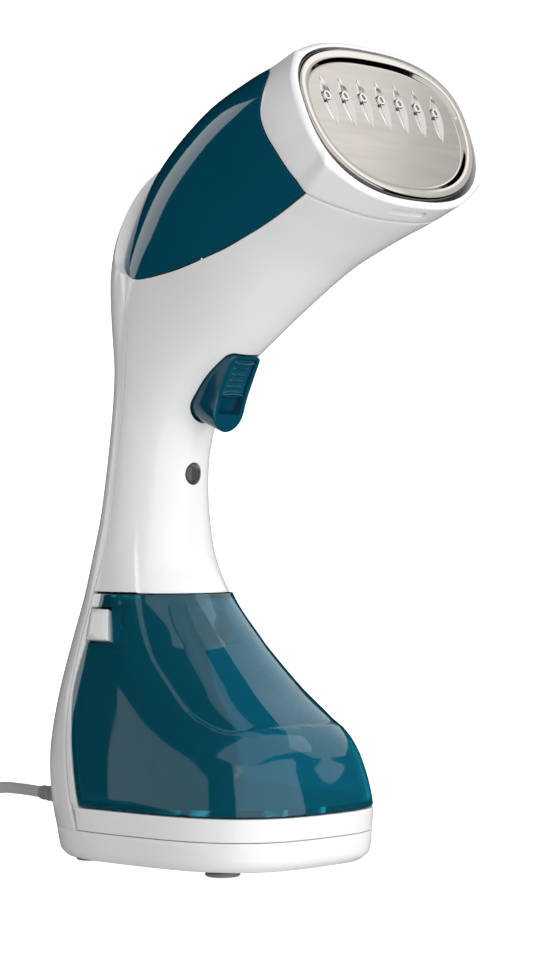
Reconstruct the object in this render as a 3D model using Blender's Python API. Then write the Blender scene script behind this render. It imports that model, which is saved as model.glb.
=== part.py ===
"""A standing garment steamer: a water tank and base below, a slim handle with a trigger, and a
tilted head with a stamped steam plate.

The design is in millimetres and MM turns it into metres. +Z is up, the plate faces -Y and the
mains lead leaves at +Y. One skin, lofted through SECTIONS from the base up the handle and out to
the head, gives every outer piece its shape. A place on it is (t, phi): t counts the sections, and
phi is the angle round a section, 0 at the back and 180 at the front, positive towards +X.
"""

import math

import bmesh
import bpy
import numpy as np
from mathutils import Matrix, Vector

MM = 0.001
GAP = 0.35  # between pieces that touch
SET_BACK = 17.8  # moves the design along +Y, so that its box is centred on the origin

# Sections of the skin: centre y, centre z, tilt of the section in degrees, half width, depth in
# front of the centre, depth behind it, and the roundness exponents of the front and back halves.
SECTIONS = np.array(
    [
        (0.0, 1.8, 0, 44.5, 54.5, 54.0, 3.0, 3.0),
        (0.0, 4.6, 0, 46.3, 57.0, 56.0, 3.0, 3.0),
        (0.0, 12.4, 0, 47.0, 58.0, 58.0, 3.0, 3.0),
        (1.0, 24.0, 0, 47.2, 60.0, 60.2, 2.9, 3.0),
        (3.0, 38.0, 0, 45.8, 58.5, 60.2, 2.8, 3.0),
        (7.0, 50.0, 0, 43.8, 57.0, 56.8, 2.6, 2.8),
        (13.0, 65.0, 0, 40.0, 44.5, 49.6, 2.4, 2.6),
        (20.0, 82.0, 0, 34.5, 33.8, 39.8, 2.3, 2.4),
        (26.0, 98.0, 0, 28.5, 25.2, 30.4, 2.2, 2.3),
        (29.5, 113.0, 1, 24.0, 21.8, 24.6, 2.1, 2.2),
        (30.5, 128.0, 2, 21.0, 20.3, 21.0, 2.1, 2.1),
        (30.0, 143.0, 3, 19.4, 19.5, 19.4, 2.1, 2.1),
        (28.5, 158.0, 6, 19.0, 20.0, 18.6, 2.1, 2.1),
        (26.0, 175.0, 12, 19.5, 24.0, 19.0, 2.1, 2.1),
        (20.0, 195.0, 24, 22.0, 31.0, 23.8, 2.2, 2.2),
        (8.0, 217.0, 38, 27.0, 38.5, 31.0, 2.2, 2.3),
        (-10.0, 237.0, 51, 33.5, 42.0, 33.0, 2.2, 2.4),
        (-34.0, 254.0, 61, 40.0, 42.0, 31.2, 2.2, 2.5),
        (-56.0, 263.0, 66, 44.8, 39.8, 29.6, 2.3, 2.6),
        (-72.6, 268.0, 68, 47.2, 37.6, 29.0, 2.45, 2.6),
        (-86.0, 272.9, 68, 48.0, 36.6, 28.5, 2.5, 2.6),
    ]
)

# Where the pieces of the skin meet, as t
T_BASE_SEAM = 2.0
T_TANK_FLOOR = 2.85
T_TANK_TOP = 8.14
T_COVER_START = 14.75
T_FACE = 20.0
T_SEAM = 0.03  # half a seam, as t

WALL = 2.2
TANK_WALL = 2.0
HUMP = 6.0  # how far the back shell's tongue stands out of the skin

# The edge between back and front shells, then along the lower edge of the top cover, as (t, phi)
REAR_EDGE = [
    (2.0, 71),
    (3.5, 68),
    (5.0, 65),
    (6.5, 64),
    (8.0, 69),
    (9.3, 79),
    (11.5, 80),
    (13.0, 82),
    (14.0, 78),
    (14.55, 66),
    (14.75, 60),
]
COVER_EDGE = [
    (14.75, 66),
    (14.9, 80),
    (15.2, 93),
    (15.6, 107),
    (16.3, 121),
    (17.0, 129),
    (18.0, 131),
    (18.86, 130),
]
# The collar's back edge, as (phi, t)
COLLAR_EDGE = [
    (0, 18.82),
    (40, 18.82),
    (60, 19.02),
    (76, 18.85),
    (89, 18.66),
    (104, 18.76),
    (130, 18.86),
    (155, 19.12),
    (180, 19.2),
]
TANK_EDGE = [(2.8, 75), (3.7, 73), (5.0, 70), (6.2, 68), (6.9, 72), (7.7, 79), (8.2, 82)]
TONGUE_EDGE = [(14.75, 50), (15.0, 46), (15.3, 40), (15.6, 31), (15.85, 19), (15.95, 6)]

# Under the base: x, y of each, and for the feet the radius, the front ones being wider
SCREW_PLACES = [(-24, -27), (24, -27), (-24, 27), (24, 27)]
SCREW_HOLE_RADIUS = 3.2
FOOT_PLACES = [(-32, -35, 6.4), (32, -35, 6.4), (-30, 36, 5.0), (30, 36, 5.0)]
FOOT_HEIGHT = 1.45

# The tank's filler in its roof and its outlet at the foot of its back wall
FILLER_Y, FILLER_RADIUS = 13.0, 7.0
OUTLET_Z, OUTLET_RADIUS = 32.0, 4.3
SOCKET_RADIUS = 6.1

# The indicator's lens, below the trigger
LENS_Z, LENS_RADIUS = 145.7, 3.95

# The head: its plate lies in the plane of the last section
PLATE_TILT = math.radians(22)
PLATE_CENTRE = np.array((0.0, -86.0, 272.9))
PLATE_HALF_WIDTH, PLATE_ABOVE, PLATE_BELOW = 45.2, 25.3, 33.4
PANEL_HALF_WIDTH, PANEL_ABOVE, PANEL_BELOW = 39.9, 21.2, 28.6
PLATE_THICK = 3.2
PANEL_DEPTH = 1.0
NOZZLE_PITCH = 10.0
NOZZLE_HEIGHT = 6.4  # of the middle nozzle above the plate's centre
NOZZLE_COUNT = 7
LEAF_ABOVE, LEAF_BELOW = 7.6, 12.4
LEAF_HALF_WIDTH = 3.2
LEAF_DEPTH = 0.9
NOZZLE_RADIUS, BORE_RADIUS = 2.0, 0.95

# The trigger is a U-shaped key that leans forward and swings into the handle on a pin at its top
TRIGGER_HEAD = np.array((0.0, -17.6, 189.0))
TRIGGER_LEAN = math.radians(21.8)
TRIGGER_LENGTH = 30.2
TRIGGER_DEPTH = 14.5
TRIGGER_HOLLOW = 1.6  # how far its face bows in
TRIGGER_HALF_WIDTH = 8.7
TRIGGER_PIVOT = np.array((0.0, -7.0, 190.5))
PIN_RADIUS = 1.25
PIN_LENGTH = 22.0
PIN_PLAY = 0.08
LOCK_TOP, LOCK_FOOT, LOCK_RECESS_FOOT = 1.6, 16.8, 23.4
LOCK_FLOOR = 4.6

# The mains lead
CORD_RADIUS = 2.3
CORD_EXIT_Z = 17.9
CORD_TILT = math.radians(2.5)
BOOT_END = 34.0  # of the strain relief, beyond the back of the base
COIL_CENTRE = np.array((0.0, 188.0))
COIL_IN, COIL_OUT, COIL_LOW, COIL_HIGH = 16.8, 36.2, 1.2, 15.6

# Colours
WHITE = (0.83, 0.83, 0.83)
TEAL = (0.004, 0.055, 0.075)
TANK_TEAL = (0.01, 0.16, 0.2)
GREY = (0.2, 0.2, 0.2)
LIGHT_GREY = (0.5, 0.5, 0.5)
DARK = (0.03, 0.03, 0.03)
STEEL = (0.55, 0.53, 0.5)


def clear_scene():
    for thing in list(bpy.data.objects):
        bpy.data.objects.remove(thing, do_unlink=True)


def material(name, colour, roughness, metallic=0.0):
    """The Principled material of that name, made at its first use."""
    made = bpy.data.materials.get(name)
    if made:
        return made
    made = bpy.data.materials.new(name)
    made.use_nodes = True
    shader = made.node_tree.nodes["Principled BSDF"]
    shader.inputs["Base Color"].default_value = (*colour, 1)
    shader.inputs["Roughness"].default_value = roughness
    shader.inputs["Metallic"].default_value = metallic
    made.diffuse_color = (*colour, 1)
    return made


# ---- The skin ----------------------------------------------------------------------------


def section_at(t):
    """The eight values of the section at t, on a smooth curve through SECTIONS."""
    last = len(SECTIONS) - 1
    i = min(int(t), last - 1)
    f = t - i
    before = SECTIONS[max(i - 1, 0)]
    here = SECTIONS[i]
    after = SECTIONS[i + 1]
    beyond = SECTIONS[min(i + 2, last)]
    return here + 0.5 * f * (
        after
        - before
        + f * (2 * before - 5 * here + 4 * after - beyond + f * (3 * (here - after) + beyond - before))
    )


def skin(t, phi):
    """The point of the skin at t and phi, in degrees."""
    y, z, tilt, half_width, front, back, round_front, round_back = section_at(t)
    across = math.sin(math.radians(phi))
    along = math.cos(math.radians(phi))
    power = 2 / (round_back if along > 0 else round_front)
    depth = back if along > 0 else front
    x = half_width * math.copysign(abs(across) ** power, across)
    out = depth * math.copysign(abs(along) ** power, along)
    tilt = math.radians(tilt)
    return np.array((x, y + out * math.cos(tilt), z + out * math.sin(tilt)))


def outward(t, phi):
    """The skin's outward normal at t and phi."""
    low, high = max(t - 0.02, 0), min(t + 0.02, len(SECTIONS) - 1)
    up = skin(high, phi) - skin(low, phi)
    round_it = skin(t, phi + 1) - skin(t, phi - 1)
    normal = np.cross(up, round_it)
    return normal / np.linalg.norm(normal)


def off_skin(t, phi, distance):
    """The point that far outside the skin, or inside it where the distance is negative."""
    return skin(t, phi) + outward(t, phi) * distance


def on_edge(edge, t):
    """phi of an edge given as (t, phi) pairs."""
    return float(np.interp(t, [p[0] for p in edge], [p[1] for p in edge]))


def collar_edge(phi):
    """t of the collar's back edge at phi."""
    around = abs((phi + 180) % 360 - 180)
    return float(np.interp(around, [p[0] for p in COLLAR_EDGE], [p[1] for p in COLLAR_EDGE]))


def skin_y(z, side):
    """y of the skin on the middle plane at height z below the head: side is 0 back or 180 front."""
    ts = np.linspace(0, 15, 301)
    points = np.array([skin(t, side) for t in ts])
    return float(np.interp(z, points[:, 2], points[:, 1]))


# ---- Solids ------------------------------------------------------------------------------


def new_object(name, mesh_maker, finish):
    """An object from a bmesh in millimetres, its faces made to point outwards."""
    shape = bmesh.new()
    mesh_maker(shape)
    bmesh.ops.recalc_face_normals(shape, faces=shape.faces)
    if shape.calc_volume(signed=True) < 0:
        bmesh.ops.reverse_faces(shape, faces=shape.faces)
    mesh = bpy.data.meshes.new(name)
    shape.to_mesh(mesh)
    shape.free()
    mesh.transform(Matrix.Scale(MM, 4))
    mesh.shade_smooth()
    mesh.set_sharp_from_angle(angle=math.radians(32))
    mesh.materials.append(finish)
    made = bpy.data.objects.new(name, mesh)
    bpy.context.collection.objects.link(made)
    return made


def sheet_solid(name, outer, inner, finish, ring=False):
    """A closed solid between two grids of points, rows by columns. A ring's columns close up."""
    rows, columns = len(outer), len(outer[0])

    def build(shape):
        faces = [[[shape.verts.new(p) for p in row] for row in grid] for grid in (outer, inner)]
        spans = columns if ring else columns - 1
        for grid in faces:
            for i in range(rows - 1):
                for j in range(spans):
                    k = (j + 1) % columns
                    shape.faces.new((grid[i][j], grid[i][k], grid[i + 1][k], grid[i + 1][j]))
        top, under = faces
        for i in (0, rows - 1):
            for j in range(spans):
                k = (j + 1) % columns
                shape.faces.new((top[i][j], under[i][j], under[i][k], top[i][k]))
        if not ring:
            for j in (0, columns - 1):
                for i in range(rows - 1):
                    shape.faces.new((top[i][j], under[i][j], under[i + 1][j], top[i + 1][j]))

    return new_object(name, build, finish)


def loft_solid(name, rings, finish):
    """A closed solid through rings of equally many points, with a flat cap at each end."""

    def build(shape):
        loops = [[shape.verts.new(p) for p in ring] for ring in rings]
        count = len(loops[0])
        for low, high in zip(loops, loops[1:]):
            for j in range(count):
                k = (j + 1) % count
                shape.faces.new((low[j], low[k], high[k], high[j]))
        shape.faces.new(loops[0])
        shape.faces.new(loops[-1])

    return new_object(name, build, finish)


def ring_solid(name, base, direction, inner, outer, length, finish, sides=32):
    """A washer or ring: it starts at base and runs that length along direction."""
    profile = [(0, inner), (length, inner), (length, outer), (0, outer), (0, inner)]

    def build(shape):
        loops = [[shape.verts.new(p) for p in circle(base, direction, *at, sides)] for at in profile[:4]]
        for low, high in zip(loops, loops[1:] + loops[:1]):
            for j in range(sides):
                k = (j + 1) % sides
                shape.faces.new((low[j], low[k], high[k], high[j]))

    return new_object(name, build, finish)


def circle(base, direction, along, radius, sides):
    """Points of a circle round the axis from base, that far along it."""
    axis = Vector(direction).normalized()
    first = axis.orthogonal().normalized()
    second = axis.cross(first)
    centre = Vector(base) + axis * along
    turns = [2 * math.pi * (k + 0.5) / sides for k in range(sides)]
    return [centre + (first * math.cos(a) + second * math.sin(a)) * radius for a in turns]


def turned(name, base, direction, profile, finish, sides=24):
    """A solid of revolution: profile is (distance along the axis, radius) from end to end."""
    return loft_solid(name, [circle(base, direction, *at, sides) for at in profile], finish)


def block(name, low, high, finish):
    """A box between two corners."""

    def build(shape):
        bmesh.ops.create_cube(shape, size=1)
        size = Vector(high) - Vector(low)
        middle = (Vector(high) + Vector(low)) / 2
        place = Matrix.Translation(middle) @ Matrix.Diagonal((*size, 1))
        bmesh.ops.transform(shape, matrix=place, verts=shape.verts)

    return new_object(name, build, finish)


def smooth_route(points, spacing):
    """Points that far apart on a smooth curve through the given ones."""
    knots = np.array(points, float)
    ahead = np.vstack((knots[1:], 2 * knots[-1] - knots[-2]))
    behind = np.vstack((2 * knots[0] - knots[1], knots[:-1]))
    slope = (ahead - behind) / 2
    line = []
    for i in range(len(knots) - 1):
        for f in np.linspace(0, 1, 24, endpoint=False):
            line.append(
                knots[i] * (1 + f * f * (2 * f - 3))
                + knots[i + 1] * f * f * (3 - 2 * f)
                + slope[i] * f * (1 - f) ** 2
                - slope[i + 1] * f * f * (1 - f)
            )
    line.append(knots[-1])
    line = np.array(line)
    run = np.concatenate(([0], np.cumsum(np.linalg.norm(np.diff(line, axis=0), axis=1))))
    wanted = np.linspace(0, run[-1], max(3, round(run[-1] / spacing) + 1))
    return np.stack([np.interp(wanted, run, line[:, k]) for k in range(3)], axis=1)


def tube(name, points, radius, finish, spacing=None):
    """A curve with a round bevel along a smooth route."""
    route = smooth_route(points, spacing or 5 * radius)
    path = bpy.data.curves.new(name, "CURVE")
    path.dimensions = "3D"
    path.bevel_depth = radius * MM
    path.bevel_resolution = 2
    path.use_fill_caps = True
    line = path.splines.new("POLY")
    line.points.add(len(route) - 1)
    for spot, place in zip(line.points, route):
        spot.co = (*(place * MM), 1)
    path.materials.append(finish)
    made = bpy.data.objects.new(name, path)
    bpy.context.collection.objects.link(made)
    return made


def boolean(target, tool, operation):
    """Cuts the tool from the target, or joins it on; the tool itself isn't part of the model."""
    tool.hide_render = True
    tool.display_type = "WIRE"
    change = target.modifiers.new(tool.name, "BOOLEAN")
    change.operation = operation
    change.solver = "EXACT"
    change.object = tool


def hang_from(child, parent):
    """Parents an object and keeps it where it is."""
    child.parent = parent
    child.matrix_parent_inverse = parent.matrix_world.inverted()


def axis_empty(name, place, children):
    """An empty on a joint's axis that carries a moving piece."""
    made = bpy.data.objects.new(name, None)
    made.location = Vector(place) * MM
    bpy.context.collection.objects.link(made)
    bpy.context.view_layer.update()
    for child in children:
        hang_from(child, made)
    return made


# ---- Materials ---------------------------------------------------------------------------


def white_plastic():
    return material("white_plastic", WHITE, 0.28)


def teal_plastic():
    return material("teal_plastic", TEAL, 0.2)


def grey_plastic():
    return material("grey_plastic", GREY, 0.45)


def black_plastic():
    return material("black_plastic", DARK, 0.5)


def rubber():
    return material("rubber", (0.08, 0.08, 0.08), 0.7)


def steel():
    return material("steel", STEEL, 0.3, 1.0)


def clear_teal():
    return material("clear_teal", TANK_TEAL, 0.08)


def aluminium():
    return material("cast_aluminium", (0.6, 0.6, 0.6), 0.5, 1.0)


# ---- Outer shells ------------------------------------------------------------------------


def rows_between(low, high, step):
    return np.linspace(low, high, max(2, round((high - low) / step) + 1))


def skin_sheet(name, ts, edges, columns, finish, stand_out=None, level_rows=(0,), to_collar=False):
    """A wall on the skin, whose row at t runs between the two angles that edges(t) gives.

    A level row is cut off flat, at one height. With to_collar the last rows follow the collar.
    """
    outer, inner = [], []
    for t in ts:
        low, high = edges(t)
        phis = np.linspace(low, high, columns)
        share = max(0, (t - 17.0) / (ts[-1] - 17.0)) if to_collar else 0
        spots = [(t + share * (collar_edge(phi) - T_SEAM - ts[-1]), phi) for phi in phis]
        extra = [stand_out(*spot) if stand_out else 0 for spot in spots]
        outer.append([off_skin(*spot, more) for spot, more in zip(spots, extra)])
        inner.append([off_skin(*spot, more - WALL) for spot, more in zip(spots, extra)])
    for row in level_rows:
        inner[row] = at_height(inner[row], outer[row][0][2])
    return sheet_solid(name, outer, inner, finish)


def hump(t, phi):
    """How far the back shell stands out: a tongue up the back that swells, then sinks in again."""
    swell = math.sin(math.pi * min(max((t - 13.2) / 3.6, 0), 1)) ** 2
    middle = math.cos(math.radians(min(abs(phi) * 1.3, 90))) ** 0.5
    return HUMP * swell * middle


def back_edge(t):
    """Half the back shell's angle at t: the seam, then the sides of its tongue."""
    return on_edge(REAR_EDGE + [(a + 0.02, b) for a, b in TONGUE_EDGE], t)


def make_rear_shell():
    ts = np.concatenate(
        (rows_between(2.04, 14.4, 0.6), (14.6, 14.7), rows_between(14.8, 15.93, 0.19))
    )
    shell = skin_sheet(
        "rear_shell", ts, lambda t: (-back_edge(t) + 0.5, back_edge(t) - 0.5), 11, white_plastic(), hump
    )
    lead_hole = turned(
        "lead_hole", (0, 50, CORD_EXIT_Z), (0, 1, 0), [(0, 4.6), (20, 4.6)], black_plastic(), 20
    )
    boolean(shell, lead_hole, "DIFFERENCE")


def front_edges(t):
    low = (on_edge(REAR_EDGE, t) if t < T_COVER_START else on_edge(COVER_EDGE, t)) + 0.9
    return low, 360 - low


def make_front_shell():
    ts = np.concatenate(
        (
            rows_between(T_TANK_TOP + 2 * T_SEAM, 14.3, 0.6),
            (14.55, 14.7, 14.8, 14.9, 15.2, 15.6, 15.95, 16.3, 16.65, 17.0, 17.5, 18.0, 18.4, 18.83),
        )
    )
    shell = skin_sheet("front_shell", ts, front_edges, 21, white_plastic(), to_collar=True)
    lens_bore = [(0, LENS_RADIUS + GAP), (20, LENS_RADIUS + GAP)]
    lens_hole = turned("lens_hole", (0, 0, LENS_Z), (0, 1, 0), lens_bore, black_plastic(), 20)
    boolean(shell, lens_hole, "DIFFERENCE")
    slot = trigger_sheet("trigger_slot", trigger_downs(0.9), 0.45, lambda _: 8.0, -6 - TRIGGER_DEPTH)
    boolean(shell, slot, "DIFFERENCE")
    for side in (-1, 1):
        near, far = sorted((side * 9.5, side * 10.8))
        ear = block(f"pin_ear_{side}", (near, -9.4, 187.6), (far, -4.6, 193.4), white_plastic())
        boolean(shell, ear, "UNION")
    boolean(shell, pin_rod("ear_holes", PIN_RADIUS + PIN_PLAY, PIN_LENGTH + 2), "DIFFERENCE")


def make_top_cover():
    """The cover arches over the back shell's tongue: rows run round the arch, columns across it."""
    side_rows = (14.8, 14.9, 15.2, 15.6, 16.3, 17.0, 18.0)
    outer_side = [(t, -on_edge(COVER_EDGE, t)) for t in side_rows]
    front_side = [(collar_edge(phi) - T_SEAM, phi) for phi in np.linspace(-129.5, 0, 12)]
    outer_half = outer_side + front_side
    inner_half = [(t, -on_edge(TONGUE_EDGE, t) - 1.2) for t in rows_between(14.78, 15.9, 0.16)]
    inner_half += [(15.99, -4), (16.0, 0)]
    count = len(outer_half)
    places = np.linspace(0, len(inner_half) - 1, count)
    inner_half = [
        tuple(np.interp(s, range(len(inner_half)), [p[k] for p in inner_half]) for k in (0, 1))
        for s in places
    ]
    rows = list(zip(inner_half, outer_half))
    rows += [((a, -b), (c, -d)) for (a, b), (c, d) in reversed(rows[:-1])]
    top, under = [], []
    for near, far in rows:
        steps = [np.array(near) + (np.array(far) - near) * f for f in np.linspace(0, 1, 7)]
        top.append([off_skin(t, phi, 0) for t, phi in steps])
        under.append([off_skin(t, phi, -WALL) for t, phi in steps])
    sheet_solid("top_cover", top, under, teal_plastic())


def make_collar():
    """The ring that frames the plate, with a narrow slot underneath for an attachment's catch."""
    phis = np.arange(0, 360, 7.5)
    outer, inner = [], []
    for share, inset in ((0, 0), (0.5, 0), (0.92, 0), (1, 0.6)):
        starts = [collar_edge(phi) + T_SEAM for phi in phis]
        spots = [(start + share * (T_FACE - start), phi) for start, phi in zip(starts, phis)]
        outer.append([off_skin(*spot, -inset) for spot in spots])
        inner.append([off_skin(*spot, -2.35) for spot in spots])
    collar = sheet_solid("head_collar", outer, inner, white_plastic(), ring=True)
    catch = block("catch_slot", (-9.7, -96.5, 225), (9.7, -93.6, 245), black_plastic())
    boolean(collar, catch, "DIFFERENCE")


# ---- Base and tank -----------------------------------------------------------------------


def full_ring(t, inset, count=48):
    return [off_skin(t, phi, -inset) for phi in np.arange(count) * 360 / count]


def flat_ring(t, z, inset, count=48):
    """A ring of the skin's outline drawn in by inset and moved to height z."""
    return [np.array((p[0], p[1], z)) for p in full_ring(t, inset, count)]


def make_base_cover():
    """A shallow pan with rounded lower edges."""
    rings = [flat_ring(0.0, 4.2, 3.0), flat_ring(1.0, 5.4, WALL), flat_ring(T_BASE_SEAM, 12.1, WALL)]
    rings += [flat_ring(T_BASE_SEAM, 12.1, 0), flat_ring(1.5, 8.0, 0), flat_ring(1.0, 4.6, 0)]
    rings += [flat_ring(0.0, 2.4, 0), flat_ring(0.0, 1.8, 1.0)]
    pan = loft_solid("base_cover", rings, white_plastic())
    for k, (x, y) in enumerate(SCREW_PLACES):
        bore = [(0, SCREW_HOLE_RADIUS), (8, SCREW_HOLE_RADIUS)]
        hole = turned(f"screw_hole_{k}", (x, y, 0), (0, 0, 1), bore, black_plastic(), 16)
        boolean(pan, hole, "DIFFERENCE")




def make_feet_and_screws():
    for k, (x, y, radius) in enumerate(FOOT_PLACES):
        pad = [(0, radius - 0.4), (0.4, radius), (FOOT_HEIGHT, radius)]
        turned(f"foot_{k + 1}", (x, y, 0), (0, 0, 1), pad, rubber(), 20)
    head = [(2.2, 2.7), (4.4, 2.7), (4.4, 1.5), (14, 1.5)]
    for k, (x, y) in enumerate(SCREW_PLACES):
        turned(f"base_screw_{k + 1}", (x, y, 0), (0, 0, 1), head, steel(), 12)


def tank_back(t):
    """y of the tank's flat back wall at t."""
    return float(skin(t, on_edge(TANK_EDGE, t))[1])


def tank_swell(t, phi):
    """The tank's upper edge stands proud of the handle at the front and sides."""
    rise = max(0, (t - 6.9) / (T_TANK_TOP - 6.9))
    side = min(max((abs(180 - phi) - 70) / 30, 0), 1)
    return 2.8 * rise * (1 - side)


def tank_ring(t, inset):
    """One level of the tank: an arc of the skin, closed by the straight back wall."""
    edge = on_edge(TANK_EDGE, t)
    phis = np.linspace(edge, 360 - edge, 27)
    arc = [off_skin(t, phi, tank_swell(t, phi) - inset) for phi in phis]
    back = tank_back(t) - inset
    z = section_at(t)[1]
    arc = [np.array((p[0], min(p[1], back), z)) for p in arc]
    left, right = arc[0][0], arc[-1][0]
    wall = [np.array((x, back, z)) for x in np.linspace(right, left, 6)[1:-1]]
    return arc + wall


def at_height(ring, z):
    return [np.array((p[0], p[1], z)) for p in ring]


def make_tank():
    levels = rows_between(T_TANK_FLOOR, T_TANK_TOP, 0.45)
    tank = loft_solid("water_tank", [tank_ring(t, 0) for t in levels], clear_teal())
    inner = [tank_ring(t, TANK_WALL) for t in levels]
    inner[0] = at_height(inner[0], section_at(T_TANK_FLOOR)[1] + TANK_WALL)
    inner[-1] = at_height(inner[-1], section_at(T_TANK_TOP)[1] - TANK_WALL)
    water = loft_solid("water_space", inner, clear_teal())
    for side in (-1, 1):
        wall = sorted((side * 20.5, side * 50))
        keep = block(f"pocket_wall_{side}", (wall[0], 17.0, 79.8), (wall[1], 60, 110), clear_teal())
        boolean(water, keep, "DIFFERENCE")
    boolean(tank, water, "DIFFERENCE")
    pockets = [
        latch_sheet(f"latch_pocket_{side}", side, (71, 91.5), (82.0, 95.4), (4.0, -7.4))
        for side in (-1, 1)
    ]
    for pocket in pockets:
        boolean(tank, pocket, "DIFFERENCE")
    bore = [(0, FILLER_RADIUS), (14, FILLER_RADIUS)]
    filler = turned("filler_hole", (0, FILLER_Y, 90), (0, 0, 1), bore, clear_teal(), 24)
    boolean(tank, filler, "DIFFERENCE")
    bore = [(0, OUTLET_RADIUS), (12, OUTLET_RADIUS)]
    outlet = turned("outlet_hole", (0, 22, OUTLET_Z), (0, 1, 0), bore, clear_teal(), 20)
    boolean(tank, outlet, "DIFFERENCE")
    return pockets


def height_to_t(z):
    """t of the level section at height z, below the handle."""
    ts = np.linspace(0, 10, 401)
    return float(np.interp(z, [section_at(t)[1] for t in ts], ts))


def latch_sheet(name, side, phis, heights, depths):
    """A piece of the skin on one side of the tank, between two angles, heights and depths."""
    outer, inner = [], []
    for z in np.linspace(*heights, 5):
        t = height_to_t(z)
        row = [side * phi for phi in np.linspace(*phis, 5)]
        outer.append([off_skin(t, phi, depths[0]) for phi in row])
        inner.append([off_skin(t, phi, depths[1]) for phi in row])
    return sheet_solid(name, outer, inner, white_plastic())


def make_latches():
    """Two squeeze buttons in the tank's upper back corners, each on a leaf spring."""
    for side, word in ((-1, "left"), (1, "right")):
        latch_sheet(f"tank_latch_{word}", side, (73.5, 89), (83.0, 94.4), (0.7, -3.6))
        latch_sheet(f"latch_spring_{word}", side, (79, 87), (87.5, 90.0), (-6.4, -6.9))


def make_tank_fittings():
    plug = FILLER_RADIUS - GAP
    bung = [(0, plug - 1.05), (2.4, plug), (4.6, plug)]
    turned("tank_bung", (0, FILLER_Y, 95.4), (0, 0, 1), bung, rubber(), 24)
    stem = OUTLET_RADIUS - GAP
    valve = [(0, stem - 0.55), (1.2, stem), (6.6, stem), (8.4, stem - 0.95)]
    turned("tank_valve", (0, 24.6, OUTLET_Z), (0, 1, 0), valve, grey_plastic(), 20)
    inner, outer = OUTLET_RADIUS + 0.05, SOCKET_RADIUS - 0.4
    ring_solid("dock_seal", (0, 31.1, OUTLET_Z), (0, 1, 0), inner, outer, 1.3, rubber(), 24)


def cheek_edges(side):
    """The strip between the back shell and the tank on one side, as a function of t."""

    def edges(t):
        return side * (on_edge(REAR_EDGE, t) + 0.9), side * (on_edge(TANK_EDGE, t) - 1.1)

    return edges


def make_tank_dock(pockets):
    """The white band under the tank, the floor it stands on, and the wall and strips behind it."""
    floor_z = 19.6
    band_ts = rows_between(T_BASE_SEAM + 2 * T_SEAM, T_TANK_FLOOR - 2 * T_SEAM, 0.4)
    dock = skin_sheet("tank_dock", band_ts, lambda t: (72.0, 288.0), 33, white_plastic(), level_rows=(0, -1))
    t = height_to_t(floor_z)
    outline = [off_skin(t, phi, -1.1) for phi in np.linspace(82, 278, 29)]
    outline += [np.array((-37.5, 27, 0)), np.array((-37.5, 36, 0)), np.array((37.5, 36, 0))]
    outline += [np.array((37.5, 27, 0))]
    levels = (floor_z, floor_z + 1.8)
    floor = loft_solid("dock_floor", [at_height(outline, z) for z in levels], white_plastic())
    boolean(dock, floor, "UNION")
    front, rear = [], []
    for t in rows_between(height_to_t(20.4), T_TANK_TOP, 0.5):
        z = section_at(t)[1]
        half = abs(skin(t, on_edge(TANK_EDGE, t))[0]) - (10.5 if z > 77 else 1.6)
        xs = np.linspace(-half, half, 5)
        y = tank_back(max(t, T_TANK_FLOOR)) + 0.8
        front.append([np.array((x, y, z)) for x in xs])
        rear.append([np.array((x, y + 1.7, z)) for x in xs])
    wall = sheet_solid("dock_wall", front, rear, white_plastic())
    boolean(dock, wall, "UNION")
    cheek_start = T_TANK_FLOOR - 0.15
    cheek_ts = np.concatenate(([cheek_start, T_TANK_FLOOR], rows_between(2.9, T_TANK_TOP, 0.6)))
    for side in (-1, 1):
        strip = skin_sheet(
            f"dock_cheek_{side}",
            cheek_ts,
            cheek_edges(side),
            3,
            white_plastic(),
            lambda t, _: -0.6 if t <= T_TANK_FLOOR else 0,
            level_rows=(0, -1),
        )
        boolean(dock, strip, "UNION")
    bore = [(0, SOCKET_RADIUS), (8, SOCKET_RADIUS)]
    socket = turned("socket_hole", (0, 27, OUTLET_Z), (0, 1, 0), bore, black_plastic(), 20)
    boolean(dock, socket, "DIFFERENCE")
    for pocket in pockets:
        boolean(dock, pocket, "DIFFERENCE")


# ---- Head --------------------------------------------------------------------------------


def head_point(x, up, out):
    """A point in the plate's frame: up along the plate, and out of its plane."""
    rise = np.array((0, math.sin(PLATE_TILT), math.cos(PLATE_TILT)))
    normal = np.array((0, -math.cos(PLATE_TILT), math.sin(PLATE_TILT)))
    return PLATE_CENTRE + np.array((x, 0, 0)) + up * rise + out * normal


def plate_outline(half_width, above, below, out, count=40):
    """The plate's outline, flatter at its top than at its foot."""
    ring = []
    for k in range(count):
        a = 2 * math.pi * k / count
        power = 2 / (2.6 if math.sin(a) > 0 else 2.26)
        depth = above if math.sin(a) > 0 else below
        x = half_width * math.copysign(abs(math.cos(a)) ** power, math.cos(a))
        up = depth * math.copysign(abs(math.sin(a)) ** power, math.sin(a))
        ring.append(head_point(x, up, out))
    return ring


def plate_at(share, out):
    """The plate's outline scaled towards the panel's: share 0 is the plate's edge and 1 the panel's."""
    sizes = [
        a + (b - a) * share
        for a, b in (
            (PLATE_HALF_WIDTH, PANEL_HALF_WIDTH),
            (PLATE_ABOVE, PANEL_ABOVE),
            (PLATE_BELOW, PANEL_BELOW),
        )
    ]
    return plate_outline(*sizes, out)


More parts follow.
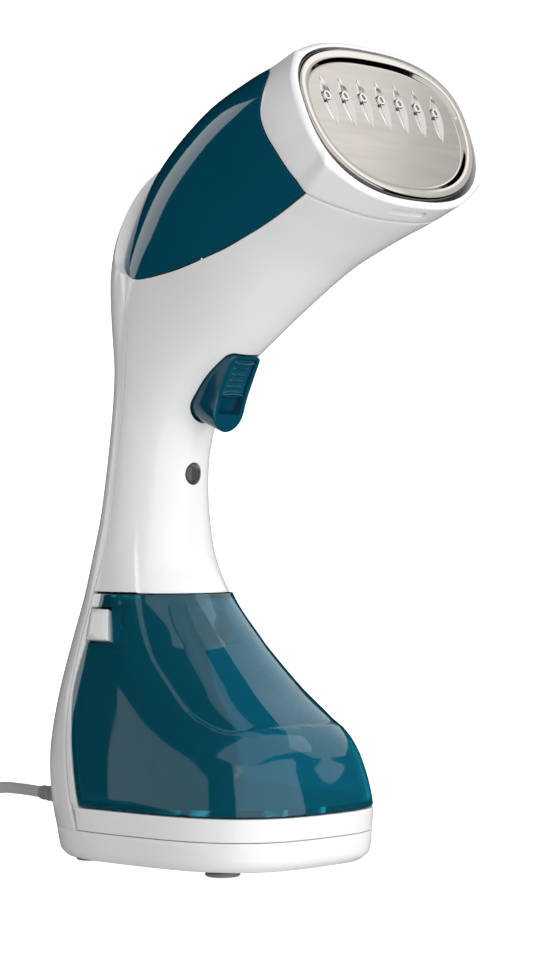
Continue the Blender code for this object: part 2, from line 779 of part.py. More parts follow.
def leaf(name, x, up, lean):
    """A cutter for one leaf-shaped hollow: pointed at both ends, and a V across."""
    rim = []
    for k in range(8):
        f = k / 7
        rim.append((LEAF_HALF_WIDTH * math.sin(math.pi * (0.04 + 0.92 * f)), f))
    outline = [(w, f) for w, f in rim] + [(-w, f) for w, f in reversed(rim)]
    levels = []
    for out, open_share in ((-PANEL_DEPTH - LEAF_DEPTH, 0.15), (0.5, 1.55)):
        ring = []
        for w, f in outline:
            along = -LEAF_BELOW + f * (LEAF_ABOVE + LEAF_BELOW)
            ring.append(head_point(x + w * open_share + lean * along, up + along, out))
        levels.append(ring)
    return loft_solid(name, levels, steel())


def nozzle_places():
    """x, height and lean of each leaf: the row bows upwards and the leaves fan out a little."""
    places = []
    for k in range(NOZZLE_COUNT):
        step = k - (NOZZLE_COUNT - 1) / 2
        places.append((step * NOZZLE_PITCH, NOZZLE_HEIGHT - 0.175 * step * step, 0.03 * step))
    return places


def make_plate():
    rings = [plate_at(0.15, 0.2 - PLATE_THICK), plate_at(0, 0.2 - PLATE_THICK), plate_at(0, -0.2)]
    rings += [plate_at(0.1, 0.2), plate_at(0.5, 0.3), plate_at(0.85, 0.1), plate_at(1, -PANEL_DEPTH)]
    plate = loft_solid("steam_plate", rings, steel())
    for k, (x, up, lean) in enumerate(nozzle_places()):
        boolean(plate, leaf(f"leaf_{k}", x, up, lean), "DIFFERENCE")
    for k, (x, up, _) in enumerate(nozzle_places()):
        boss = head_point(x, up, -PANEL_DEPTH - 1.2)
        away = head_point(0, 0, 1) - head_point(0, 0, 0)
        profile = [(0, NOZZLE_RADIUS), (1.2, NOZZLE_RADIUS), (1.55, NOZZLE_RADIUS - 0.45)]
        knob = turned(f"nozzle_{k}", boss, away, profile, steel(), 14)
        boolean(plate, knob, "UNION")
    for k, (x, up, _) in enumerate(nozzle_places()):
        profile = [(0, BORE_RADIUS), (8, BORE_RADIUS)]
        bore = turned(f"bore_{k}", head_point(x, up, -6.1), away, profile, steel(), 10)
        boolean(plate, bore, "DIFFERENCE")


def make_head_parts():
    """What sits behind the plate: seal, heater casting, element, thermostat, fuse and shield."""
    seal_outer = [plate_outline(44.0, 24.2, 32.2, out, 40) for out in (-3.3, -5.0)]
    seal_inner = [plate_outline(40.0, 20.5, 28.4, out, 40) for out in (-3.3, -5.0)]
    sheet_solid("plate_seal", seal_outer, seal_inner, rubber(), ring=True)
    rings = [plate_outline(38.8, 19.4, 27.2, -3.4, 32), plate_outline(38.8, 19.4, 27.2, -15, 32)]
    rings += [plate_outline(36.5, 17.5, 25, -17.5, 32)]
    loft_solid("heater_block", rings, aluminium())
    bend = [(17 * math.cos(a), -6 - 13 * math.sin(a)) for a in np.linspace(0.25, math.pi - 0.25, 9)]
    route = [(20, 8), (18, 0)] + bend + [(-18, 0), (-20, 8)]
    points = [head_point(x, up, -21.2) for x, up in route]
    tube("heating_element", points, 3.2, steel(), 5)
    inward = head_point(0, 0, -1) - head_point(0, 0, 0)
    puck = [(0, 6.5), (3.5, 6.5), (3.5, 4.5), (6.5, 4.5)]
    turned("thermostat", head_point(0, 3.5, -17.9), inward, puck, black_plastic(), 20)
    fuse = head_point(-5.5, 12.6, -19.9)
    capsule = [(0, 0.6), (2, 0.6), (2, 1.8), (9, 1.8), (9, 0.6), (11, 0.6)]
    turned("thermal_fuse", fuse, (1, 0, 0), capsule, steel(), 12)
    shield = [
        [plate_outline(w, a, b, out, 32) for out in (-25.6, -26.8)]
        for w, a, b in ((37.0, 18.6, 26.5), (13.5, 9.5, 12.0))
    ]
    sheet_solid("heat_shield", shield[0], shield[1], steel(), ring=True)


# ---- Handle ------------------------------------------------------------------------------


def trigger_point(x, down, out):
    """A point in the trigger's own frame: down along it from its head, and out of its face."""
    foot = np.array((0, math.sin(TRIGGER_LEAN), -math.cos(TRIGGER_LEAN)))
    face = np.array((0, -math.cos(TRIGGER_LEAN), -math.sin(TRIGGER_LEAN)))
    return TRIGGER_HEAD + np.array((x, 0, 0)) + down * foot + out * face


def trigger_half_width(down):
    """Narrowest at the head, and a half circle at the foot."""
    body = np.interp(down, (0, 1.4, 9, 20), (7.1, 7.9, TRIGGER_HALF_WIDTH, 8.4))
    into_foot = min(max((down - (TRIGGER_LENGTH - 8.4)) / 8.4, 0), 0.985)
    return float(body) * math.sqrt(1 - into_foot**2)


def trigger_face(down):
    return -TRIGGER_HOLLOW * math.sin(math.pi * min(max(down / TRIGGER_LENGTH, 0), 1))


def trigger_downs(grow):
    """Distances down the trigger, closer together where its outline turns."""
    foot = 8.4 * np.sin(np.linspace(0, math.pi / 2, 7))
    body = np.linspace(1.4, TRIGGER_LENGTH - 8.4, 9)
    downs = np.concatenate(([0], body, TRIGGER_LENGTH - 8.4 + foot[1:]))
    middle = TRIGGER_LENGTH / 2
    return middle + (downs - middle) * (1 + grow / middle)


def trigger_sheet(name, downs, widen, face, back, half_width=None, columns=7):
    """A solid in the trigger's frame between a face, given down it, and a flat back."""
    outer, inner = [], []
    for down in downs:
        half = (half_width or trigger_half_width(down)) + widen
        xs = np.linspace(-half, half, columns)
        outer.append([trigger_point(x, down, face(down)) for x in xs])
        inner.append([trigger_point(x, down, back) for x in xs])
    return sheet_solid(name, outer, inner, teal_plastic())


def pin_rod(name, radius, length):
    """A round rod along the trigger's hinge."""
    start = (-length / 2, *TRIGGER_PIVOT[1:])
    return turned(name, start, (1, 0, 0), [(0, radius), (length, radius)], steel(), 16)


def make_trigger():
    trigger = trigger_sheet("trigger", trigger_downs(0), 0, trigger_face, -TRIGGER_DEPTH)
    recess_downs = (LOCK_TOP - GAP, LOCK_RECESS_FOOT)
    recess = trigger_sheet("lock_recess", recess_downs, 0, lambda _: 9.0, -LOCK_FLOOR, 6.1, 3)
    boolean(trigger, recess, "DIFFERENCE")
    boolean(trigger, pin_rod("pin_bore", PIN_RADIUS + PIN_PLAY, PIN_LENGTH + 2), "DIFFERENCE")
    pin_rod("trigger_pin", PIN_RADIUS, PIN_LENGTH)
    axis_empty("trigger_axis", TRIGGER_PIVOT, (trigger, make_lock_slider()))


def lock_face(down):
    """Four ribs between two lips, on the trigger's own bowed face."""
    share = (down - LOCK_TOP) / (LOCK_FOOT - LOCK_TOP)
    ribbed = 0.14 < share < 0.86
    rise = 0.25 - 0.35 * math.cos(share * 2 * math.pi * 6) if ribbed else 1.1
    return trigger_face(down) + rise


def make_lock_slider():
    downs = np.linspace(LOCK_TOP, LOCK_FOOT, 33)
    return trigger_sheet("lock_slider", downs, 0, lock_face, GAP - LOCK_FLOOR, 5.7, 3)


def make_handle_parts():
    lens = [(0, LENS_RADIUS), (4.2, LENS_RADIUS), (4.8, LENS_RADIUS - 0.75), (5.1, 1.6)]
    front = skin_y(LENS_Z, 180)
    turned("indicator_lens", (0, front + 4.6, LENS_Z), (0, -1, 0), lens, grey_plastic(), 24)
    block("handle_chassis", (-9, 20.9, 106), (9, 22.5, 178), grey_plastic())
    switch = block("microswitch", (-3.2, 14.0, 161), (3.2, 20.5, 174), black_plastic())
    plunger = turned("plunger", (0, 10.4, 168), (0, 1, 0), [(0, 1.2), (4.2, 1.2)], black_plastic(), 12)
    boolean(switch, plunger, "UNION")
    bend = np.linspace(0, 12, 7)
    places = [trigger_point(0, 21 - u, -TRIGGER_DEPTH - GAP) + np.array((0, 0.022 * u * u, 0)) for u in bend]
    near = [[place + np.array((x, 0, 0)) for x in (-2, 0, 2)] for place in places]
    far = [[point + np.array((0, 0.4, 0)) for point in row] for row in near]
    sheet_solid("trigger_spring", near, far, steel())


def make_plumbing_and_wires():
    pump = [(0, 3.5), (3, 3.5), (3, 8.2), (33, 8.2), (33, 4), (38, 4)]
    turned("pump", (0, 48.6, 39.5), (0, 0, 1), pump, black_plastic(), 24)
    inlet = [(0, 34.2, OUTLET_Z), (0, 39, 31.2), (0, 44.5, 31.6), (0, 48, 34), (0, 48.6, 38.2)]
    tube("inlet_hose", inlet, 2.4, grey_plastic())
    end = head_point(0, -7.2, -18.2)
    near = head_point(0, -7.2, -30)
    outlet = [(0, 48.6, 78), (0, 46, 95), (0, 40, 115), (0, 34, 140), (0, 31, 165), (0, 24, 190)]
    outlet += [(0, 8, 214), (0, -18, 236), (0, -40, 249), tuple(near), tuple(end)]
    tube("outlet_hose", outlet, 2.6, grey_plastic())
    loom = [(0, 50, 25.2), (8, 50.3, 30), (14, 50, 38), (14, 49, 60), (13, 46, 82), (8.5, 42, 106)]
    loom += [(7.5, 38, 130), (7, 33.5, 160), (7.5, 26, 188), (8.5, 9, 214), (9.5, -16, 237)]
    loom += [(10, -38, 250), tuple(head_point(9.6, 1.5, -29.5)), tuple(head_point(9.4, 3.0, -25.2))]
    tube("wiring_loom", loom, 1.7, black_plastic())


# ---- Mains lead --------------------------------------------------------------------------


def along_lead(distance):
    """A point on the lead's own axis, that far behind the middle of the base's back wall."""
    return np.array((0, 60 + distance * math.cos(CORD_TILT), CORD_EXIT_Z + distance * math.sin(CORD_TILT)))


def make_lead():
    direction = along_lead(1) - along_lead(0)
    boot = [(0, 5.1), (2.4, 5.1), (2.4, 4.2), (8.4, 4.2), (8.4, 5.4), (10.8, 5.2), (10.8, 4.4)]
    boot += [(21, 3.7), (7 + BOOT_END, 2.9)]
    turned("strain_relief", along_lead(-7.0), direction, boot, grey_plastic(), 20)
    start = along_lead(BOOT_END + GAP)
    route = [start, along_lead(BOOT_END + 12), (0, 119, 19.6), (1.5, 132, 15.4), (8.0, 144, 8.6)]
    route += [(20.5, 154.6, 4.4)]
    tube("power_cord", route, CORD_RADIUS, material("cord_grey", LIGHT_GREY, 0.5), 10.5)
    centre = (*COIL_CENTRE, COIL_LOW)
    height = COIL_HIGH - COIL_LOW
    finish = material("cord_grey", LIGHT_GREY, 0.5)
    ring_solid("cord_coil", centre, (0, 0, 1), COIL_IN, COIL_OUT, height, finish, 40)
    top = COIL_HIGH + GAP + CORD_RADIUS
    x, y = COIL_CENTRE + (14, 4)
    tail = [(x + 20 * math.cos(a), y + 20 * math.sin(a), top) for a in np.linspace(-0.9, 0.4, 4)]
    tail += [(x + 20 * math.cos(a), y + 20 * math.sin(a), top + 5 * f) for a, f in ((0.9, 0.35), (1.3, 0.85))]
    tail += [(x - 0.3, y + 20, top + 5.4)]
    tube("cord_tail", tail, CORD_RADIUS, finish, 10.5)
    make_tie()
    make_plug(x - 1.2, y + 20, top + 5.4)


def make_tie():
    """A strap round the coil's turns, at the side away from the plug."""
    x = COIL_CENTRE[0]
    low, high = COIL_CENTRE[1] - COIL_OUT - GAP, COIL_CENTRE[1] - COIL_IN + GAP
    bottom, top = COIL_LOW - GAP, COIL_HIGH + GAP
    inner, outer = [], []
    for grow, rows in ((0, inner), (0.8, outer)):
        corners = [(low - grow, bottom - grow), (high + grow, bottom - grow)]
        corners += [(high + grow, top + grow), (low - grow, top + grow)]
        for side in (-3, 3):
            rows.append([(x + side, y, z) for y, z in corners])
    sheet_solid("cord_tie", outer, inner, black_plastic(), ring=True)


def make_plug(x, y, z):
    """A flat mains plug that lies on the coil, its two pins pointing along -X."""
    sizes = [(0, 3.4, 3.4), (9, 4.6, 4.2), (12, 8, 6.2), (24, 15.5, 7.2), (38, 17, 7.4), (41, 16.2, 6.9)]
    rings = []
    for along, half_width, half_height in sizes:
        turns = np.arange(24) * math.pi / 12
        ring = [(half_width * math.cos(a), half_height * math.sin(a)) for a in turns]
        rings.append([(x - along, y + across, z + up) for across, up in ring])
    loft_solid("plug_body", rings, material("cord_grey", LIGHT_GREY, 0.5))
    pin = [(0, 2.4), (17, 2.4), (19, 1.4)]
    for k, side in enumerate((-1, 1)):
        start = (x - 41 - GAP, y + side * 9.5, z)
        turned(f"plug_pin_{k + 1}", start, (-1, 0, 0), pin, steel(), 16)


def make_cord_clamp():
    block("cord_clamp", (-8, 46.5, 14.6), (8, 52, 22.4), grey_plastic())
    for k, x in enumerate((-5.5, 5.5)):
        head = [(0, 1.9), (1.4, 1.9)]
        turned(f"clamp_screw_{k + 1}", (x, 49.2, 22.7), (0, 0, 1), head, steel(), 12)


def set_in_place():
    """Everything hangs from one empty, which moves the design back to centre it."""
    root = bpy.data.objects.new("steamer", None)
    bpy.context.collection.objects.link(root)
    for thing in list(bpy.data.objects):
        if thing is not root and thing.parent is None:
            thing.parent = root
    root.location = (0, SET_BACK * MM, 0)


def main():
    clear_scene()
    make_rear_shell()
    make_front_shell()
    make_top_cover()
    make_collar()
    make_base_cover()
    make_feet_and_screws()
    pockets = make_tank()
    make_latches()
    make_tank_fittings()
    make_tank_dock(pockets)
    make_plate()
    make_head_parts()
    make_trigger()
    make_handle_parts()
    make_plumbing_and_wires()
    make_cord_clamp()
    make_lead()
    set_in_place()


main()
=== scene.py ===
from math import atan2, cos, pi, radians, sin, tan

import bmesh
import bpy
import numpy as np
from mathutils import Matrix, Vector
from numpy.linalg import norm

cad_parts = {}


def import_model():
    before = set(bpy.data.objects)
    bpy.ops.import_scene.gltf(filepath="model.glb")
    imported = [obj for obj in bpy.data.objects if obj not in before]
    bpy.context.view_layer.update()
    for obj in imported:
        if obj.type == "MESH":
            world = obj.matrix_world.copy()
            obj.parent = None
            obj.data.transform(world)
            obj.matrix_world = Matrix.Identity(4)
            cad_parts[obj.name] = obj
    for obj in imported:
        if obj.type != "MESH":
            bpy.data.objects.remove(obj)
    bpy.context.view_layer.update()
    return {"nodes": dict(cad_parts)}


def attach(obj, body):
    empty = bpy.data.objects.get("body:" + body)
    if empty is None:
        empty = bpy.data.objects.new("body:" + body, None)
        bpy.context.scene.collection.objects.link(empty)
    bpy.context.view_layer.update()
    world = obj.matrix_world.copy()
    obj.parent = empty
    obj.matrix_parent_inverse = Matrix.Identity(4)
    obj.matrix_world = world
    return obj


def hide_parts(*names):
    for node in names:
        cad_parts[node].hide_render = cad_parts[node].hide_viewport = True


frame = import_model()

# A standing garment steamer. The design is in millimetres: +Z is up, the plate faces -Y and the
# lead leaves at +Y. A place on the outer skin is (t, phi): t counts SECTIONS from the base up the
# handle and out to the head, and phi is the angle round a section, 0 at the back, 180 in front.

MM = 0.001
SET_BACK = 17.8  # the design's own origin lies this far behind the frame's

# centre y, centre z, tilt in degrees, half width, depth in front, depth behind, two roundness powers
SECTIONS = np.array([
    (0, 1.8, 0, 44.5, 54.5, 54, 3, 3),
    (0, 4.6, 0, 46.3, 57, 56, 3, 3),
    (0, 12.4, 0, 47, 58, 58, 3, 3),
    (1, 24, 0, 47.2, 60, 60.2, 2.9, 3),
    (3, 38, 0, 45.8, 58.5, 60.2, 2.8, 3),
    (7, 50, 0, 43.8, 57, 56.8, 2.6, 2.8),
    (13, 65, 0, 40, 44.5, 49.6, 2.4, 2.6),
    (20, 82, 0, 34.5, 33.8, 39.8, 2.3, 2.4),
    (26, 98, 0, 28.5, 25.2, 30.4, 2.2, 2.3),
    (29.5, 113, 1, 24, 21.8, 24.6, 2.1, 2.2),
    (30.5, 128, 2, 21, 20.3, 21, 2.1, 2.1),
    (30, 143, 3, 19.4, 19.5, 19.4, 2.1, 2.1),
    (28.5, 158, 6, 19, 20, 18.6, 2.1, 2.1),
    (26, 175, 12, 19.5, 24, 19, 2.1, 2.1),
    (20, 195, 24, 22, 31, 23.8, 2.2, 2.2),
    (8, 217, 38, 27, 38.5, 31, 2.2, 2.3),
    (-10, 237, 51, 33.5, 42, 33, 2.2, 2.4),
    (-34, 254, 61, 40, 42, 31.2, 2.2, 2.5),
    (-56, 263, 66, 44.8, 39.8, 29.6, 2.3, 2.6),
    (-72.6, 268, 68, 47.2, 37.6, 29, 2.45, 2.6),
    (-86, 272.9, 68, 48, 36.6, 28.5, 2.5, 2.6),
])
T_BASE_SEAM = 2.0
T_TANK_FLOOR = 2.85
T_TANK_TOP = 8.14
T_COVER_START = 14.79
T_FACE = 20.0
T_SEAM = 0.03
WALL = 2.2
TANK_WALL = 2.0
HUMP, HUMP_START, HUMP_LENGTH = 6, 13.2, 3.6
FLARE, FLARE_WIDTH = 1.5, 6.5  # the ridge along the cover's lower edge, and the facet above it
BEVEL_DEPTH, STEP_DEPTH, STEP_WIDTH = 1.4, 1.5, 1.2  # round the front panel of the tank
SHOULDER_DEPTH, T_SHOULDER_END = 0.9, 10.1  # of the panel where it carries on up the handle
REAR_EDGE = [(2, 71), (3.5, 68), (5, 65), (6.5, 64), (8, 69), (9.3, 79), (11.5, 80), (13, 82)]
REAR_EDGE += [(13.9, 79), (14.4, 71), (14.79, 62)]
COVER_EDGE = [(14.79, 62), (14.81, 71), (14.87, 79), (15, 87), (15.18, 93), (15.6, 105), (16.15, 116)]
COVER_EDGE += [(16.65, 124), (17.2, 129), (18, 131), (18.86, 130)]
COLLAR_EDGE = [(0, 18.82), (40, 18.82), (60, 19.02), (76, 18.85), (89, 18.66), (104, 18.76)]
COLLAR_EDGE += [(130, 18.86), (155, 19.12), (180, 19.2)]
TANK_EDGE = [(2.8, 75), (3.7, 73), (5, 70), (6.2, 68), (6.9, 72), (7.7, 79), (8.2, 82)]
TONGUE_EDGE = [(14.79, 62), (14.83, 53), (14.92, 48), (15.1, 44.5), (15.3, 40), (15.6, 31)]
TONGUE_EDGE += [(15.85, 19), (15.95, 6)]
# Roughly the millimetres in one step of t and one degree of phi, for edges given as pairs
EDGE_SCALE = np.array((12, 0.6))
# The sunken front panel of the tank, and the outer edge of the bevel round it
BIB = [(10.4, 114), (9.9, 114), (8.15, 115.2), (7.5, 113.8), (6.7, 114.5), (6.15, 119.5), (5.5, 124)]
BIB += [(5.1, 135), (5.15, 154), (5.2, 180)]
BEVEL = [(10.4, 98), (7.2, 99), (6.38, 101.2), (5.62, 105), (5.05, 113.2), (4.5, 126.2), (4.2, 143)]
BEVEL += [(4.24, 165), (4.35, 180)]

PLATE_TILT = radians(22)
PLATE_CENTRE = np.array((0, -86, 272.9))
PLATE_HALF_WIDTH, PLATE_ABOVE, PLATE_BELOW = 45.2, 25.3, 33.4
PANEL_DEPTH = 1.0
NOZZLE_PITCH = 10.0
NOZZLE_HEIGHT = 6.4
LEAF_ABOVE, LEAF_BELOW, LEAF_HALF_WIDTH, LEAF_DEPTH = 7.6, 12.4, 3.2, 0.9

TRIGGER_HEAD = np.array((0, -17.6, 189))
TRIGGER_LEAN = radians(21.8)
TRIGGER_LENGTH = 30.2
TRIGGER_DEPTH = 14.5
TRIGGER_HOLLOW = 1.6
TRIGGER_HALF_WIDTH = 8.7
TRIGGER_FOOT_RADIUS, TRIGGER_CORNER = 8.4, 2.2
LOCK_TOP, LOCK_FOOT, LOCK_RECESS_FOOT, LOCK_FLOOR = 1.6, 16.8, 23.4, 4.6
LENS_Z = 145.7

SCREW_PLACES = [(-24, -27), (24, -27), (-24, 27), (24, 27)]
FOOT_PLACES = [(-32, -35, 6.4), (32, -35, 6.4), (-30, 36, 5), (30, 36, 5)]
# the angles, heights and depths between which a latch's pocket lies
POCKETS = ((71, 91.5), (82, 95.4), (4, -7.4))
FILLER_Y = 13
OUTLET_Z = 32
DECK_Z = 19.6

CORD_RADIUS = 2.3
CORD_LENGTH = 1800.0
CORD_EXIT_Z = 17.9
CORD_TILT = radians(2.5)
BOOT_END = 34.0
COIL_CENTRE = np.array((0, 188))
COIL_OUTER = 33.9
COIL_LAYERS = (3.6, 8.3, 13)  # the height of each layer's turns
LAYER_TURNS = 10 / 3 - 0.034
TOP_TURN_Z = 18.25
PLUG_RISE = 5.4  # of the plug above the turn that it lies on

VIEW_ANGLE = radians(46.5)  # the camera looks from the front left
VIEW_DISTANCE = 1057.35
VIEW_HEIGHT = 128.1
FOCAL = 2.93809  # focal length over the picture's height
LOOK_RIGHT, LOOK_UP = 0.01893, 0.01554  # how far the camera turns from the object's axis
AHEAD = Vector((sin(VIEW_ANGLE), cos(VIEW_ANGLE), 0))
RIGHT = Vector((cos(VIEW_ANGLE), -sin(VIEW_ANGLE), 0))
LIGHT_DISTANCE = 1.5
UPWARDS, BACKWARDS = (0, 0, 1), (0, 1, 0)


# ---- Places ----


def world(points):
    """Design millimetres to frame metres."""
    return (np.asarray(points, float) + (0, SET_BACK, 0)) * MM


def section_at(t):
    """The section values at t, an array, on a smooth curve through SECTIONS."""
    t = np.asarray(t, float)
    last = len(SECTIONS) - 1
    i = np.minimum(t.astype(int), last - 1)
    f = (t - i)[..., None]
    before, here = SECTIONS[np.maximum(i - 1, 0)], SECTIONS[i]
    after, beyond = SECTIONS[i + 1], SECTIONS[np.minimum(i + 2, last)]
    third = 3 * (here - after) + beyond - before
    return here + 0.5 * f * (after - before + f * (2 * before - 5 * here + 4 * after - beyond + f * third))


def signed_power(value, power):
    return np.sign(value) * np.abs(value) ** power


def skin(t, phi):
    """Points of the skin at t and phi in degrees, as arrays."""
    t, phi = np.broadcast_arrays(np.asarray(t, float), np.asarray(phi, float))
    y, z, tilt, half_width, front, back, round_front, round_back = np.moveaxis(section_at(t), -1, 0)
    across, along = np.sin(np.radians(phi)), np.cos(np.radians(phi))
    behind = along > 0
    power = 2 / np.where(behind, round_back, round_front)
    out = np.where(behind, back, front) * signed_power(along, power)
    tilt = np.radians(tilt)
    x = half_width * signed_power(across, power)
    return np.stack((x, y + out * np.cos(tilt), z + out * np.sin(tilt)), axis=-1)


def off_skin(t, phi, distance):
    """Points that far outside the skin, or inside it where the distance is negative."""
    t, phi = np.broadcast_arrays(np.asarray(t, float), np.asarray(phi, float))
    low, high = np.maximum(t - 0.02, 0), np.minimum(t + 0.02, len(SECTIONS) - 1)
    normal = np.cross(skin(high, phi) - skin(low, phi), skin(t, phi + 1) - skin(t, phi - 1))
    normal /= norm(normal, axis=-1)[..., None]
    return skin(t, phi) + normal * np.asarray(distance, float)[..., None]


def smooth_line(points, count=12):
    """More points on a smooth curve through the given ones."""
    knots = np.array(points, float)
    span = norm(np.diff(knots, axis=0), axis=1)[:, None]
    pace = np.diff(knots, axis=0) / span
    inner = (pace[:-1] * span[1:] + pace[1:] * span[:-1]) / (span[:-1] + span[1:])
    slope = np.vstack((pace[:1], inner, pace[-1:]))
    f = np.linspace(0, 1, count, endpoint=False)[:, None]
    line = []
    for a, b, sa, sb, long in zip(knots, knots[1:], slope, slope[1:], span):
        swing = long * f * (1 - f) * (sa * (1 - f) - sb * f)
        line.append(a + (b - a) * f * f * (3 - 2 * f) + swing)
    return np.vstack(line + [knots[-1:]])


def edge_line(edge):
    """A smooth curve through an edge's (t, phi) pairs."""
    return smooth_line(edge * EDGE_SCALE) / EDGE_SCALE


def on_edge(edge, t):
    """phi of an edge at t."""
    line = edge_line(edge)
    return np.interp(t, line[:, 0], line[:, 1])


def from_back(phi):
    """Degrees from the back, on either side."""
    return np.abs((np.asarray(phi, float) + 180) % 360 - 180)


def collar_edge(phi):
    """t of the collar's back edge at phi."""
    line = smooth_line(COLLAR_EDGE * EDGE_SCALE[::-1]) / EDGE_SCALE[::-1]
    return np.interp(from_back(phi), line[:, 0], line[:, 1])


def height_to_t(z):
    ts = np.linspace(0, 10, 801)
    return np.interp(z, section_at(ts)[:, 1], ts)


def line_length(line):
    return float(norm(np.diff(line, axis=0), axis=1).sum())


def even(line, count):
    """That many points at even steps along a line."""
    run = np.concatenate(([0], np.cumsum(norm(np.diff(line, axis=0), axis=1))))
    wanted = np.linspace(0, run[-1], count)
    return np.stack([np.interp(wanted, run, column) for column in line.T], axis=1)


def spaced(line, spacing):
    """Points about that far apart along a line."""
    return even(line, round(line_length(line) / spacing) + 1)


def in_frame(origin, axes, places):
    """Points at that far along each of three axes."""
    moves = [place[..., None] * axis for place, axis in zip(np.broadcast_arrays(*places), np.array(axes))]
    return origin + sum(moves)


def head_point(x, up, out):
    """Points in the plate's frame: across, up along the plate, and out of its plane."""
    s, c = sin(PLATE_TILT), cos(PLATE_TILT)
    return in_frame(PLATE_CENTRE, ((1, 0, 0), (0, s, c), (0, -c, s)), (x, up, out))


def trigger_point(x, down, out):
    """Points in the trigger's frame: across, down along it from its head, and out of its face."""
    s, c = sin(TRIGGER_LEAN), cos(TRIGGER_LEAN)
    return in_frame(TRIGGER_HEAD, ((1, 0, 0), (0, s, -c), (0, -c, -s)), (x, down, out))


def along_lead(distance):
    return np.array((0, 60 + distance * cos(CORD_TILT), CORD_EXIT_Z + distance * sin(CORD_TILT)))


# ---- Materials ----


def fill(node, **values):
    """Sets a node's inputs; an underscore stands for a space."""
    for name, value in values.items():
        node.inputs[name.replace("_", " ")].default_value = value


def start_material(name, colour, roughness, metallic=0.0):
    made = bpy.data.materials.new(name)
    made.use_nodes = True
    shader = made.node_tree.nodes["Principled BSDF"]
    fill(shader, Base_Color=(*colour, 1), Roughness=roughness, Metallic=metallic)
    made.diffuse_color = (*colour, 1)
    return made, made.node_tree, shader


def noise(tree, scale, detail=3.0, stretch=(1, 1, 1)):
    """A noise fixed to the piece, stretched along its axes."""
    place = tree.nodes.new("ShaderNodeTexCoord")
    change = tree.nodes.new("ShaderNodeMapping")
    fill(change, Scale=stretch)
    made = tree.nodes.new("ShaderNodeTexNoise")
    fill(made, Scale=scale, Detail=detail)
    tree.links.new(place.outputs["Object"], change.inputs["Vector"])
    tree.links.new(change.outputs["Vector"], made.inputs["Vector"])
    return made.outputs["Fac"]


def vary(tree, source, low, high, target, start=0.3, end=0.7):
    """Drives a socket between two values, as a source goes from start to end."""
    reach = tree.nodes.new("ShaderNodeMapRange")
    fill(reach, From_Min=start, From_Max=end, To_Min=low, To_Max=high)
    tree.links.new(source, reach.inputs["Value"])
    tree.links.new(reach.outputs["Result"], target)


def bump(tree, shader, source, depth, strength=1.0):
    made = tree.nodes.new("ShaderNodeBump")
    fill(made, Strength=strength, Distance=depth * MM)
    tree.links.new(source, made.inputs["Height"])
    tree.links.new(made.outputs["Normal"], shader.inputs["Normal"])


def tint(tree, shader, source, colour, share):
    """Darkens the colour here and there, to a share of itself."""
    mix = tree.nodes.new("ShaderNodeMix")
    mix.data_type = "RGBA"
    fill(mix, A=(*colour, 1), B=(*(c * share for c in colour), 1))
    tree.links.new(source, mix.inputs["Factor"])
    tree.links.new(mix.outputs["Result"], shader.inputs["Base Color"])


def moulded(name, colour, roughness, grain=0.004):
    """Moulded plastic: a faint orange peel, and gloss that varies a little."""
    made, tree, shader = start_material(name, colour, roughness)
    vary(tree, noise(tree, 60), roughness * 0.85, roughness * 1.2, shader.inputs["Roughness"])
    tint(tree, shader, noise(tree, 25), colour, 0.96)
    bump(tree, shader, noise(tree, 700, 2), grain)
    return made


def matt_rubber(name, colour):
    made, tree, shader = start_material(name, colour, 0.6)
    vary(tree, noise(tree, 90), 0.5, 0.75, shader.inputs["Roughness"])
    tint(tree, shader, noise(tree, 40), colour, 0.8)
    bump(tree, shader, noise(tree, 1500, 4), 0.02)
    return made


def brushed(name, colour, roughness, stretch, depth):
    """Metal with fine brushing, which runs along the axis where stretch is smallest."""
    made, tree, shader = start_material(name, colour, roughness, 1)
    lines = noise(tree, 500, 4, stretch)
    vary(tree, lines, roughness * 0.75, roughness * 1.35, shader.inputs["Roughness"])
    tint(tree, shader, noise(tree, 30), colour, 0.93)
    bump(tree, shader, lines, depth)
    return made


def clear_plastic(name, colour):
    made, tree, shader = start_material(name, colour, 0.03)
    fill(shader, Transmission_Weight=0.8, IOR=1.49)
    vary(tree, noise(tree, 50), 0.015, 0.05, shader.inputs["Roughness"])
    tint(tree, shader, noise(tree, 18), colour, 0.95)
    bump(tree, shader, noise(tree, 30, 0), 0.002, 0.3)
    return made


WHITE = moulded("white_shell", (0.80, 0.80, 0.805), 0.16, 0.003)
WHITE_BASE = moulded("white_base", (0.82, 0.82, 0.825), 0.22, 0.003)
TEAL = moulded("teal_cover", (0.0016, 0.068, 0.112), 0.05, 0.002)
TEAL_KEY = moulded("teal_trigger", (0.0016, 0.052, 0.09), 0.12, 0.004)
TEAL_LOCK = moulded("teal_lock", (0.0016, 0.066, 0.11), 0.22, 0.004)
CLEAR = clear_plastic("tank_clear_teal", (0.012, 0.245, 0.35))
LENS = moulded("lens_grey", (0.06, 0.06, 0.062), 0.12)
GREY = moulded("inner_grey", (0.23, 0.23, 0.235), 0.45, 0.01)
BLACK = moulded("inner_black", (0.02, 0.02, 0.021), 0.4, 0.01)
BOOT = matt_rubber("boot_grey", (0.22, 0.22, 0.225))
FOOT = matt_rubber("foot_grey", (0.17, 0.17, 0.17))
SEAL = matt_rubber("seal_grey", (0.12, 0.12, 0.12))
HOSE = matt_rubber("hose_silicone", (0.6, 0.57, 0.52))
CORD = matt_rubber("cord_light_grey", (0.42, 0.42, 0.425))
PANEL = brushed("plate_panel", (0.36, 0.34, 0.312), 0.13, (0.05, 1, 1), 0.0006)
RIM = brushed("plate_rim", (0.47, 0.447, 0.415), 0.08, (0.3, 1, 1), 0.001)
LEAF = brushed("plate_leaf", (0.74, 0.73, 0.71), 0.14, (1, 1, 0.2), 0.002)
